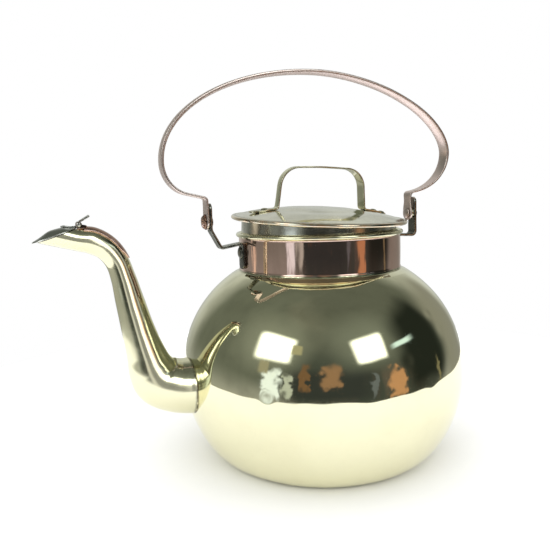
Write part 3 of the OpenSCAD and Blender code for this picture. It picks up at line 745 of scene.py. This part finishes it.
class KETTLE_OT_flap(bpy.types.Operator):
    """Hinge strap on the spout's head, and the flap that covers the mouth"""

    bl_idname = "kettle.flap"
    bl_label = "Spout flap and hinge"

    def execute(self, context):
        grid, edge = strap_over_spout()
        shells, edges = [(grid, False)], [edge]
        ear = np.vstack([arc((0, 0), 1.75, -40, 220, 22), [
            [-1.3, -1.7], [-1.0, -2.4], [4.5, -2.35], [4.5, -0.8], [2.4, -0.65]]])
        for low in (2.3, -4.3):
            plate = slab(ear, low, low + 2.0, 0.35)
            shells.append((np.stack([plate[..., 0] + PIN[0], plate[..., 2],
                                     plate[..., 1] + PIN[1]], -1), False))
            edges.append(np.array([0, 1, 1, 0.4, 0, 0, 0.4, 1, 1, 0])[:, None])
        strap = surface("spout_strap", shells, edge=edges,
                        grime=[(1 - e) * 0.25 for e in edges])
        settle(strap, "vessel", "brown_copper", "spout_hinge_strap")

        slant = math.atan2(*(MOUTH_BACK - MOUTH_TIP)[::-1])
        turn = np.array([[math.cos(slant), 0, -math.sin(slant)], [0, 1, 0],
                         [math.sin(slant), 0, math.cos(slant)]])

        def placed(points):
            return points @ turn.T + np.array([PIN[0], 0, PIN[1]])

        a = np.linspace(0, 2 * np.pi, 120, endpoint=False)
        grow = np.concatenate([np.linspace(0.03, 0.93, 22), [0.965, 0.99, 1.0, 0.99, 0.965],
                               np.linspace(0.93, 0.03, 22)])[:, None]
        rise = np.concatenate([np.full(22, 0.8), [0.78, 0.66, 0.4, 0.14, 0.02], np.zeros(22)])[:, None]
        oval = np.stack([-1.8 - FLAP_HALF + FLAP_HALF * grow * np.cos(a),
                         FLAP_W * grow * np.sign(np.sin(a)) * np.abs(np.sin(a)) ** 0.92,
                         -1.72 + rise + 0 * a], -1)
        oval[..., 2] += flap_rise(-oval[..., 0], grow) + 0.06 * waves(oval, 9.0, 8)
        plate = surface("mouth_flap", [(placed(oval), False)],
                        edge=[smooth(grow, 0.94, 0.99)], grime=[0.0])
        settle(plate, "flap", "tinned", "spout_flap")

        x = np.linspace(-10.2, -1.9, 30)
        on_plate = np.stack([x, -0.42 + flap_rise(-x, np.abs(x + 15.3) / FLAP_HALF)], -1)
        way = np.radians(12)
        tab = np.array([math.cos(way), math.sin(way)]) * np.linspace(1.2, 8.0, 26)[:, None] + \
            np.array([-math.sin(way), math.cos(way)]) * 1.2
        barrel = slab(arc((0, 0), 1.7, 0, 360, 33)[:-1], -2.0, 2.0, 0.25)
        path, at = follow(on_plate, 0.5, 2.0)
        strip, e1 = sweep(path, 2.0 * np.sqrt(smooth(at, -0.6, 1.6)), 0.42)
        path, at = follow(tab, 0.4, 1.5)
        wide = 2.0 + 2.4 * smooth(at, 1.4, 3.0) - 1.6 * smooth(at, at[-1] - 1.2, at[-1] + 0.3)
        lift, e2 = sweep(path, wide, 0.55, crown=0.15)
        rib, _ = sweep(on_plate[4:25] + [0, 0.45], 0.55, 0.22)
        shells = [(placed(part), False) for part in (strip, barrel[..., [0, 2, 1]], lift, rib)]
        leaf = surface("flap_leaf", shells, edge=[e1, 0.3, e2, 1.0], grime=[0.0, 0.2, 0.0, 0.0])
        settle(leaf, "flap", "tinned", "flap_hinge_leaf")
        return {"FINISHED"}


# ---- brackets, handle and their rivets --------------------------------------------------------

def bracket_path(side):
    """Bent strap of a bracket in the XZ plane, drawn towards +X, from its foot to its top."""
    b, d, e = [58.2, 150.5], [BRACKET_X, 160.3], [BRACKET_X, 170]
    c = [73.4, 148.2] if side < 0 else [BRACKET_X, 149.2]
    rise = [fillet(b, c, d, 1.6), fillet(c, d, e, 6, 16)] if side < 0 else [fillet(b, c, e, 3.2, 16)]
    return np.vstack([[[58.2, 133.1]], [[58.2, 146.0]], fillet([58.2, 146], b, c, 1.6)] + rise
                     + [[[BRACKET_X, 178.0]]])


class KETTLE_OT_brackets(bpy.types.Operator):
    """The two bent brass brackets and the rivets through their feet"""

    bl_idname = "kettle.brackets"
    bl_label = "Brackets"

    def execute(self, context):
        foot_r = BRACKET_X - 21
        for side, name, seed in ((-1, "left_bracket", 31), (1, "right_bracket", 47)):
            path, at = follow(bracket_path(side), 0.55, 4.0)
            total = at[-1]
            top = np.clip(total - at, 0, 4.0)
            half = np.sqrt(np.maximum(16 - (4 - top) ** 2, 0.02))
            half = np.minimum(half, 4 * (0.35 + 0.65 * np.sqrt(np.clip(at / 2.2, 0, 1))))
            half = half + 0.35 * side * np.sin(np.clip(at / total, 0, 1) * np.pi) ** 2
            grid, edge = sweep(path, half, BRACKET_T / 2, 0.42, 0.03, across=10)
            clear = smooth(grid[..., 2], 150.5, 154)
            grid[..., 0] -= (1 - smooth(grid[..., 2], 147, 150)) * \
                (foot_r - np.sqrt(foot_r ** 2 - grid[..., 1] ** 2)) * 0.8
            grid += (0.05 * waves(grid, 8.0, seed) * clear)[..., None] * [1, 0, 0]
            grid = grid * [side, 1, 1]
            # Darker towards the foot on the band: painted shade with some grime.
            piece = surface(name + "_strap", [(grid, False)], edge=[edge],
                            grime=[(1 - smooth(grid[..., 2], 134, 152)) * 0.5])
            bore(piece, (side * BRACKET_X, 0, PIVOT_Z), (1, 0, 0), 2.52, 12)
            settle(piece, "vessel", "dark_brass", name)

        tail_x = math.sqrt(NECK_R ** 2 - 3.2 ** 2) - 0.02
        shells, edges = [], []
        grip = BAND_R + 2.02 - tail_x
        profile = dome_profile(2.0, 4.0, 1.8, grip, 0.0, 3.2, 0.6)
        for side in (-1, 1):
            grid = revolve(profile, 40)
            grid[..., :2] *= (1 + 0.06 * waves(grid + side * 40, 3.0, 9))[..., None]
            shells.append((along_x(grid, side * tail_x, FOOT_RIVET_Z, side), False))
            edges.append(smooth(profile[:, 1:], grip + 1.0, grip + 1.8))
        # Each rivet is darker except the crown of its head: painted shade round the head, with some
        # grime.
        rivets = surface("bracket_rivet_heads", shells, edge=edges,
                         grime=[(1 - e) * 0.8 for e in edges])
        settle(rivets, "vessel", "dark_brass", "bracket_rivets")
        return {"FINISHED"}


def half_bow(pad_x, reach, wide_z, power, curl):
    """Half of the bail from its crown to the pivot end: superellipse, elliptic curl, bend, drop."""
    a = np.linspace(np.pi / 2, 0, 90)
    bow = np.stack([reach * np.cos(a) ** (2 / power),
                    wide_z + (BOW_TOP - wide_z) * np.sin(a) ** (2 / power)], -1)
    b = np.radians(np.linspace(0, 78, 36))[1:]
    low = np.stack([reach - curl[0] + curl[0] * np.cos(b), wide_z - curl[1] * np.sin(b)], -1)
    last = low[-1]
    slope = curl[1] / curl[0] * math.tan(math.radians(12))
    turn = np.array([pad_x, last[1] - (last[0] - pad_x) * slope])
    return np.vstack([bow, low, fillet(last, turn, turn - [0, 10], 2.4, 12),
                      [[pad_x, PIVOT_Z - 5.4]]])


class KETTLE_OT_handle(bpy.types.Operator):
    """Copper bail handle with its two pads, and the pivot rivets and washer"""

    bl_idname = "kettle.handle"
    bl_label = "Bail handle"

    def execute(self, context):
        left_x = BRACKET_X + BRACKET_T / 2 + APART + STRAP_T / 2
        right_x = BRACKET_X - BRACKET_T / 2 - WASHER_T - APART - STRAP_T / 2
        left, right = half_bow(left_x, *BOW_LEFT), half_bow(right_x, *BOW_RIGHT)
        path = np.vstack([left[::-1] * [-1, 1], right[1:]])
        path, at = follow(path, 1.1, 12.0)
        back = at[-1] - at
        disc, even = 5.4, 5.0

        def pad_width(d, waist, waist_at):
            """Half width near an end: round pad, then a waist, then the even strap."""
            round_end = np.sqrt(np.maximum(disc ** 2 - (disc - np.minimum(d, disc)) ** 2, 0.01))
            strap = even - (even - waist) * np.exp(-((d - waist_at) / 5.0) ** 2)
            return np.where(d < disc, round_end, strap + (disc - strap) * (1 - smooth(d, disc, 9.5)))

        half = np.where(at < back, pad_width(at, 4.7, 17.0), pad_width(back, 4.1, 15.0))
        half = half + 0.10 * np.sin(at / 23.0) + 0.06 * np.sin(at / 9.0 + 1)
        half = np.minimum(np.maximum(half, 0.12), 5.45)
        middle = smooth(np.minimum(at, back), 45, 85)
        thick = 0.8 - 0.12 * smooth(-np.minimum(at, back), -9, -2) + 0.35 * middle
        grid, edge = sweep(path, half, thick, 0.6, 0.02 + 0.4 * middle[:, None], across=10)
        ends = np.exp(-np.minimum(at, back) / 15.0)[:, None]
        grid += (0.16 * waves(grid, 6.5, 77) * ends + 0.07 * waves(grid, 28.0, 5))[..., None] * \
            np.array([0, 1.0, 0])
        side = np.where(at < back, -1, 1)[:, None]
        beat = np.minimum(0.10 * waves(grid, 4.2, 55), 0.12) * ends * smooth(edge, 1.0, 0.0)
        grid[..., 0] -= side * np.abs(beat) * 0.6
        # Darker towards the pads at the pivots, much more on the left: painted shade between the parts,
        # with some grime.
        grime = np.clip(ends * 1.2 - 0.25, 0, 1) * (1 - edge) * np.where(at < back, 0.9, 0.25)[:, None]
        bail = surface("bail_handle", [(grid, False)], edge=[edge], grime=[grime])
        for s in (-1, 1):
            bore(bail, (s * 79, 0, PIVOT_Z), (1, 0, 0), 2.55, 16)
        settle(bail, "bail", "copper", "handle")

        # Each stud is darkened, the left one except its dome: painted shade at the pivot, with some
        # grime.
        for side, x, between, head, lump, seed, finish, dirt_and_painted_shade in (
                ("left", BRACKET_T / 2 - BRACKET_X, 0, (4.8, 2.4, 12), 0.07, 6, "brown_copper", 0.7),
                ("right", BRACKET_X + BRACKET_T / 2, WASHER_T, (3.8, 0.9, 10), 0.05, 16, "copper",
                 0.3)):
            grip = BRACKET_T + between + 2 * APART + STRAP_T
            profile = dome_profile(PIVOT_R, *head[:2], grip, 0.0, 3.9, 1.0, head[2])
            grid = revolve(profile, 48)
            grid[..., :2] *= (1 + lump * waves(grid, 4.0, seed))[..., None]
            clean = 0.0
            if side == "left":
                grid[..., 2] -= np.where(grid[..., 2] > grip, 0.35 * np.abs(waves(grid, 2.6, 12)), 0)
                clean = 0.7 * smooth(profile[:, 1:], grip, grip + 1.5)
            stud = surface(side + "_pivot_stud", [(along_x(grid, x, PIVOT_Z, -1), False)],
                           edge=[smooth(profile[:, 1:], grip + head[1] / 2 * (side == "left"),
                                        grip + head[1] - 0.1 * (side == "left"))],
                           grime=[dirt_and_painted_shade - clean])
            settle(stud, "vessel", finish, side + "_pivot_rivet")

        t = WASHER_T
        ring = np.array([[2.52, 0.1], [2.6, 0], [3.6, 0], [3.92, 0.12], [4, 0.45], [4, t - 0.45],
                         [3.92, t - 0.12], [3.6, t], [2.6, t], [2.52, t - 0.1]])
        x = BRACKET_X - BRACKET_T / 2 - t
        # The washer between bracket and bail is darkened all over: painted shade with some grime.
        washer = surface("pivot_washer", [(along_x(revolve(ring, 48), x, PIVOT_Z, 1), True)],
                         edge=[smooth(ring[:, :1], 3.7, 3.95)], grime=[0.4])
        settle(washer, "vessel", "old_brass", "right_pivot_washer")
        return {"FINISHED"}


# ---- lid --------------------------------------------------------------------------------------

def dome(r):
    """Height of the lid's upper face over its edge plane: steep flank, flatter middle."""
    r = np.minimum(np.abs(r), LID_R - LID_BEAD)
    crown = 0.9 + 7.2 * (1 - (r / (LID_R - LID_BEAD)) ** 2.4)
    return crown - 0.35 * np.exp(-((r - 33) / 5.0) ** 2)


def lid_placed(points):
    """From the lid's own frame to its resting place: tilted about X, then Y, and lifted."""
    a, b = (math.radians(v) for v in LID_TILT)
    about_x = np.array([[1, 0, 0], [0, math.cos(a), -math.sin(a)], [0, math.sin(a), math.cos(a)]])
    about_y = np.array([[math.cos(b), 0, math.sin(b)], [0, 1, 0], [-math.sin(b), 0, math.cos(b)]])
    return points @ (about_y @ about_x).T + np.array([0, 0, LID_Z])


def lid_leg(end, lift, leg_x, top_x):
    """Half of the lid handle in the lid's XZ plane: foot, ankle, leg, round corner, to the top."""
    lay = 0.05 + 0.6
    x = np.linspace(end, leg_x + 4, 26)
    foot = np.stack([x, dome(x) + lay + lift * np.maximum(0, (x - 45) / 8)], -1)
    ankle = [leg_x, float(dome(leg_x)) + lay]
    top, crown = [top_x, 34.9], [0, 35.9]
    return np.vstack([foot, fillet(foot[-1], ankle, top, 2.4), fillet(ankle, top, crown, 14, 24),
                      [[2.5, 35.8]]])


class KETTLE_OT_lid(bpy.types.Operator):
    """Spun lid with its rolled edge and plug ring, and the strap handle riveted to it"""

    bl_idname = "kettle.lid"
    bl_label = "Lid"

    def execute(self, context):
        r = np.concatenate([np.linspace(0.6, 56, 74), np.linspace(57, LID_R - 2.5, 7)])
        top = np.stack([r, dome(r)], -1)
        bead = arc((LID_R - LID_BEAD, 0), LID_BEAD, 132, -172, 32)
        profile = np.vstack([top, bead, top[::-1][2:] - [0, LID_SHEET]])
        grid = revolve(profile, 300)
        n = len(top)
        bumps = 0.05 * waves(grid, 30.0, 2) + 0.03 * waves(grid, 11.0, 19)
        still = np.ones(len(profile))
        still[n - 4:] = 0
        grid[..., 2] += (bumps - 0.06) * still[:, None]
        rim = smooth(profile[:, :1], LID_R - 1.6, LID_R - 0.4)
        # Darker on the underside and in a narrow ring just inside the rolled edge: painted shade with
        # some grime.
        grime = np.where(np.arange(len(profile)) > n + 28, 0.5, 0.0)[:, None]
        grime = np.maximum(grime, 0.5 * np.exp(-((profile[:, :1] - 59.3) / 0.8) ** 2))
        lid = surface("lid", [(lid_placed(grid), False)], edge=[rim], grime=[grime])
        settle(lid, "lid", "lid_brass", "lid_plate")

        inner, outer = 53.8, 54.6
        z1 = float(dome(outer)) - LID_SHEET - 0.06
        profile = np.vstack([[[inner + 0.1, -13.0], [outer - 0.15, -13.0], [outer, -12.85]],
                             np.linspace([outer, -12.6], [outer, z1], 24),
                             np.linspace([inner, z1], [inner, -12.8], 10)])
        grid = revolve(profile, 300)
        outward = unit(grid * [1, 1, 0])
        grid += outward * (0.05 * waves(grid * [1, 1, 0.3], 14.0, 41) - 0.06)[..., None]
        skirt = surface("lid_plug", [(lid_placed(grid), True)], edge=[0.0],
                        grime=[0.35 * smooth(waves(grid, 12.0, 8), -0.5, 1.2)])
        settle(skirt, "lid", "plug_brass", "lid_skirt")

        left, right = lid_leg(52.5, 0.9, 32.2, 29.2), lid_leg(55.0, 0.0, 34.9, 32.2)
        path = np.vstack([left * [-1, 1], right[::-1]])
        path, at = follow(path, 0.6, 5.0)
        back = at[-1] - at
        d = np.minimum(at, back)
        spoon = 4.75 * np.sqrt(np.clip(1 - (1 - np.clip(d / 6.5, 0, 1)) ** 2, 0.0004, 1))
        leg = np.where(at < back, 3.2, 4.9)
        half = np.where(d < 6.5, spoon, 4.75 + (leg - 4.75) * smooth(d, 9, 24)
                        + (4.1 - leg) * smooth(d, 44, 66))
        thick = 0.6 - 0.16 * (1 - smooth(d, 0, 7))
        grid, edge = sweep(path, half, thick, 0.75, 0.04, across=9)
        cup = (1 - smooth(d, 9, 18))[:, None]
        grid[..., 2] -= 0.05 * cup
        grid += (0.05 * waves(grid, 9.0, 88))[..., None] * [0, 1, 0.4]
        # Darker where the feet sit on the lid: painted shade with some grime.
        grime = 0.5 * cup * (1 - edge)
        grip = surface("lid_grip", [(lid_placed(grid), False)], edge=[edge], grime=[grime])
        settle(grip, "lid", "old_brass", "lid_handle")

        shells, edges = [], []
        for x, seed in ((-41.5, 1), (45.0, 2), (51.5, 3)):
            fall = float(dome(abs(x) + 0.5) - dome(abs(x) - 0.5))
            lean = math.atan(fall) * math.copysign(1, x)
            profile = dome_profile(1.3, 2.2, 0.85, 1.22, -0.85, 2.0, 0.5, 8)
            grid = revolve(profile, 32)
            grid[..., :2] *= (1 + 0.07 * waves(grid + 9 * seed, 2.2, seed))[..., None]
            c, s = math.cos(lean), math.sin(lean)
            grid = grid @ np.array([[c, 0, -s], [0, 1, 0], [s, 0, c]]).T
            shells.append((lid_placed(grid + [x, 0, float(dome(x)) + 0.05]), False))
            edges.append(smooth(profile[:, 1:], 1.5, 2.0))
        # Each rivet is darker except the crown of its head: painted shade round the head, with some
        # grime.
        rivets = surface("lid_rivet_heads", shells, edge=edges, grime=[(1 - e) * 0.9 for e in edges])
        settle(rivets, "lid", "old_brass", "lid_rivets")
        return {"FINISHED"}


# ---- stage ------------------------------------------------------------------------------------

WINDOWS = (  # degrees round from -Y to +X, degrees up, half width, half height, softness, colour
    (65, 17, 22, 28, 0.7, (0.018, 0.022, 0.018)),
    (108, 0, 17, 30, 0.9, (0.27, 0.27, 0.24)),
    (-20, 2, 34, 13, 0.8, (0.040, 0.046, 0.045)),
    (-72, 36, 24, 20, 1.6, (0.26, 0.28, 0.24)),
    (16, 38, 22, 20, 1.6, (0.20, 0.22, 0.19)),
    (-68, 32, 14, 11, 0.5, (2.6, 2.7, 2.6)),
    (16.5, 30, 11.7, 10.5, 0.5, (2.6, 2.7, 2.6)),
    (48, 25, 9, 1.8, 0.9, (0.8, 1.05, 1.1)),
    (-66, 2, 7, 11, 0.5, (1.0, 1.12, 1.2)),
    (-53, 2, 2.5, 9, 0.6, (0.55, 0.60, 0.55)),
    (-39, 8, 3.0, 10, 0.5, (0.20, 0.115, 0.06)),
    (-18, 9, 8.0, 10, 0.5, (0.32, 0.19, 0.11)),
    (34, -1, 7, 9.5, 0.5, (0.58, 0.31, 0.16)),
    (15, 0, 2.0, 8, 0.7, (0.15, 0.17, 0.19)),
    (-130, -3, 4.5, 9, 0.7, (1.0, 0.85, 0.66)),
    (-47, 33, 4, 4, 0.4, (0.42, 0.40, 0.26)),
    (-73, 14, 4, 5, 0.4, (0.36, 0.34, 0.24)),
    (76, -4, 2.0, 8, 0.5, (0.22, 0.20, 0.12)),
)

SPOUT_LIGHTS = (  # degrees round, degrees up, width, height in metres, watts
    (20, 6, 0.42, 1.10, 1.9),
    (-18, -2, 0.26, 0.90, 0.34),
    (8, 8, 1.40, 1.30, 1.3),
    (55, 8, 0.30, 1.10, 0.45),
)
SPOUT_MIDDLE, LAMP_FAR = Vector((-0.13, 0, 0.11)), 1.2

CAMERA_PLACE = Vector((0, -0.41551, 0.18262))           # before the turn about the kettle
CAMERA_TURNS = (0.077, 0.138, 0.028, math.radians(26.49))    # pan, pitch, roll, round the kettle


def heading(turn, rise):
    """Direction of a compass turn from -Y towards +X and a rise over the floor, in degrees."""
    a, e = math.radians(turn), math.radians(rise)
    return Vector((math.sin(a) * math.cos(e), -math.cos(a) * math.cos(e), math.sin(e)))


def room_world(stage):
    """Surroundings: a dim room with soft windows for the metal, plain white for the eye and floor."""
    world = bpy.data.worlds.new("room")
    bpy.context.scene.world = world
    world.use_nodes = True
    world.node_tree.nodes.clear()
    t = Tree(world.node_tree)
    way = t.add("ShaderNodeTexCoord").outputs["Generated"]
    up = t.add("ShaderNodeSeparateXYZ", {0: way}).outputs["Z"]

    def lobe(turn, rise, low, high):
        return t.step(t.vector("DOT_PRODUCT", way, tuple(heading(turn, rise))), low, high)

    colour = t.mix(t.step(up, 0.25, 0.95), (0.066, 0.078, 0.068, 1), (0.165, 0.175, 0.150, 1))
    colour = t.mix(lobe(-120, 25, 0.25, 0.80), colour, (0.15, 0.165, 0.14, 1))
    colour = t.mix(t.math("MULTIPLY", lobe(-26, 72, 0.90, 0.985), 0.8), colour, (0.24, 0.24, 0.20, 1))
    colour = t.mix(lobe(50, 60, 0.55, 0.95), colour, (0.12, 0.13, 0.11, 1))
    colour = t.mix(lobe(152, 6, 0.50, 0.88), colour, (0.62, 0.64, 0.60, 1))
    low = t.step(up, 0.10, -0.30)
    sides = t.math("MAXIMUM", lobe(-112, -8, 0.30, 0.80), lobe(130, -8, 0.30, 0.80))
    colour = t.mix(t.math("MULTIPLY", low, sides), colour, (0.42, 0.43, 0.40, 1))
    stretched = t.vector("MULTIPLY", way, (1.0, 1.0, 0.15))
    streak = t.step(t.noise(stretched, 7.0, 2.0, 0.5), 0.40, 0.72)
    near = t.math("MULTIPLY", t.step(t.math("ABSOLUTE", up), 0.30, 0.08), streak)
    near = t.math("MULTIPLY", near, lobe(5, 0, 0.35, 0.70))
    colour = t.mix(t.math("MULTIPLY", near, 0.8), colour, (0.14, 0.115, 0.095, 1))
    blots = t.step(t.noise(way, 4.0, 3.0, 0.5), 0.35, 0.80)
    colour = t.mix(t.math("MULTIPLY", blots, 0.22), colour, (0.03, 0.033, 0.028, 1))
    shift = t.add("ShaderNodeTexNoise", {"Vector": way, "Scale": 9.0, "Detail": 2.0}).outputs["Color"]
    shift = t.vector("SUBTRACT", shift, (0.5, 0.5, 0.5))
    bent = t.vector("ADD", way, t.vector("MULTIPLY", shift, (0.30, 0.30, 0.30)))
    for turn, rise, half_w, half_h, soft, light in WINDOWS:
        look = bent if rise < 12 and half_w < 12 else way
        ahead = heading(turn, rise)
        side = ahead.cross(Vector((0, 0, 1))).normalized()
        top = side.cross(ahead)
        depth = t.vector("DOT_PRODUCT", look, tuple(ahead))
        masks = []
        for axis, half in ((side, half_w), (top, half_h)):
            off = t.math("DIVIDE", t.vector("DOT_PRODUCT", look, tuple(axis)),
                         t.math("MAXIMUM", depth, 0.01))
            reach = math.tan(math.radians(half))
            masks.append(t.step(t.math("ABSOLUTE", off), reach * (1 + soft / 2),
                                reach * (1 - soft / 2)))
        mask = t.math("MULTIPLY", t.math("MULTIPLY", *masks), t.step(depth, 0.0, 0.05))
        colour = t.mix(mask, colour, tuple(light) + (1,))
    path = t.add("ShaderNodeLightPath").outputs
    seen = t.mix(path["Is Diffuse Ray"], colour, (stage.daylight,) * 3 + (1,))
    seen = t.mix(path["Is Camera Ray"], seen, (1, 1, 1, 1))
    room = t.add("ShaderNodeBackground", {"Color": seen})
    t.add("ShaderNodeOutputWorld", {"Surface": room.outputs[0]})


def floor_material():
    """Matt white table top with a faint grain."""
    made = bpy.data.materials.new("pale table")
    made.use_nodes = True
    made.node_tree.nodes.clear()
    t = Tree(made.node_tree)
    place = t.add("ShaderNodeTexCoord").outputs["Object"]
    grain = t.noise(place, 60.0, 4.0)
    colour = t.mix(grain, (0.93, 0.93, 0.93, 1), (0.96, 0.96, 0.955, 1))
    shader = t.add("ShaderNodeBsdfPrincipled", {"Base Color": colour, "Roughness": 0.9,
                                                "Specular IOR Level": 0.0})
    t.add("ShaderNodeOutputMaterial", {"Surface": shader.outputs[0]})
    return made


class KETTLE_OT_stage(bpy.types.Operator):
    """Pale floor, dim room with soft windows, strip lights for the spout, and the camera"""

    bl_idname = "kettle.stage"
    bl_label = "Floor, light and camera"

    def execute(self, context):
        stage = context.scene.kettle_stage
        room_world(stage)
        r = np.linspace(0.4, stage.floor_radius / MM, 30)
        profile = np.vstack([np.stack([r, 0 * r - 0.05], -1), np.stack([r[::-1], 0 * r - 3.0], -1)])
        floor = surface("floor", [(revolve(profile, 128), False)])
        floor.data.materials.append(floor_material())

        only = bpy.data.collections.new("lit spout")
        only.objects.link(bpy.data.objects["spout_tube"])
        for turn, rise, wide, high, power in SPOUT_LIGHTS:
            lamp = bpy.data.lights.new("strip light", "AREA")
            lamp.shape, lamp.size, lamp.size_y, lamp.energy = "RECTANGLE", wide, high, power
            strip = bpy.data.objects.new("strip_light", lamp)
            context.scene.collection.objects.link(strip)
            ahead = heading(turn, rise)
            strip.matrix_world = Matrix.Translation(SPOUT_MIDDLE + ahead * LAMP_FAR) @ \
                ahead.to_track_quat("Z", "Y").to_matrix().to_4x4()
            strip.light_linking.receiver_collection = only

        pan, pitch, roll, yaw = CAMERA_TURNS
        ahead = Vector((-math.sin(pan) * math.cos(pitch), math.cos(pan) * math.cos(pitch),
                        -math.sin(pitch)))
        right = Vector((math.cos(pan), math.sin(pan), 0))
        up = right.cross(ahead)
        right, up = (right * math.cos(roll) - up * math.sin(roll),
                     right * math.sin(roll) + up * math.cos(roll))
        turn = Matrix.Rotation(-yaw, 3, "Z")
        axes = Matrix((turn @ right, turn @ up, turn @ -ahead)).transposed().to_4x4()
        lens = bpy.data.cameras.new("camera")
        lens.lens, lens.sensor_width, lens.clip_start = stage.lens, 36, 0.01
        camera = bpy.data.objects.new("camera", lens)
        context.scene.collection.objects.link(camera)
        camera.matrix_world = Matrix.Translation(turn @ CAMERA_PLACE) @ axes
        context.scene.camera = camera
        context.scene.view_settings.view_transform = "Standard"
        return {"FINISHED"}


class KETTLE_PT_panel(bpy.types.Panel):
    """Lists the kettle's steps and settings"""

    bl_label = "Kettle"
    bl_space_type = "VIEW_3D"
    bl_region_type = "UI"
    bl_category = "Kettle"

    def draw(self, context):
        look, stage = context.scene.kettle_look, context.scene.kettle_stage
        for name in ("brass", "brass_tarnish", "copper", "copper_tarnish", "dents"):
            self.layout.prop(look, name)
        for name in ("floor_radius", "daylight", "lens"):
            self.layout.prop(stage, name)
        for step in STEPS:
            self.layout.operator(step.bl_idname)


STEPS = (KETTLE_OT_body, KETTLE_OT_neck, KETTLE_OT_spout, KETTLE_OT_flap, KETTLE_OT_brackets,
         KETTLE_OT_handle, KETTLE_OT_lid, KETTLE_OT_stage)
CLASSES = (KettleLook, KettleStage) + STEPS + (KETTLE_PT_panel,)


def register():
    for item in CLASSES:
        bpy.utils.register_class(item)
    bpy.types.Scene.kettle_look = bpy.props.PointerProperty(type=KettleLook)
    bpy.types.Scene.kettle_stage = bpy.props.PointerProperty(type=KettleStage)


def unregister():
    del bpy.types.Scene.kettle_stage
    del bpy.types.Scene.kettle_look
    for item in reversed(CLASSES):
        bpy.utils.unregister_class(item)


def main():
    register()
    polish_group(), tarnish_group(), hammer_group()
    METALS.update({name: metal(bpy.context.scene.kettle_look, name) for name in FINISHES})
    for step in STEPS:
        category, name = step.bl_idname.split(".")
        getattr(getattr(bpy.ops, category), name)()


if __name__ == "__main__":
    main()
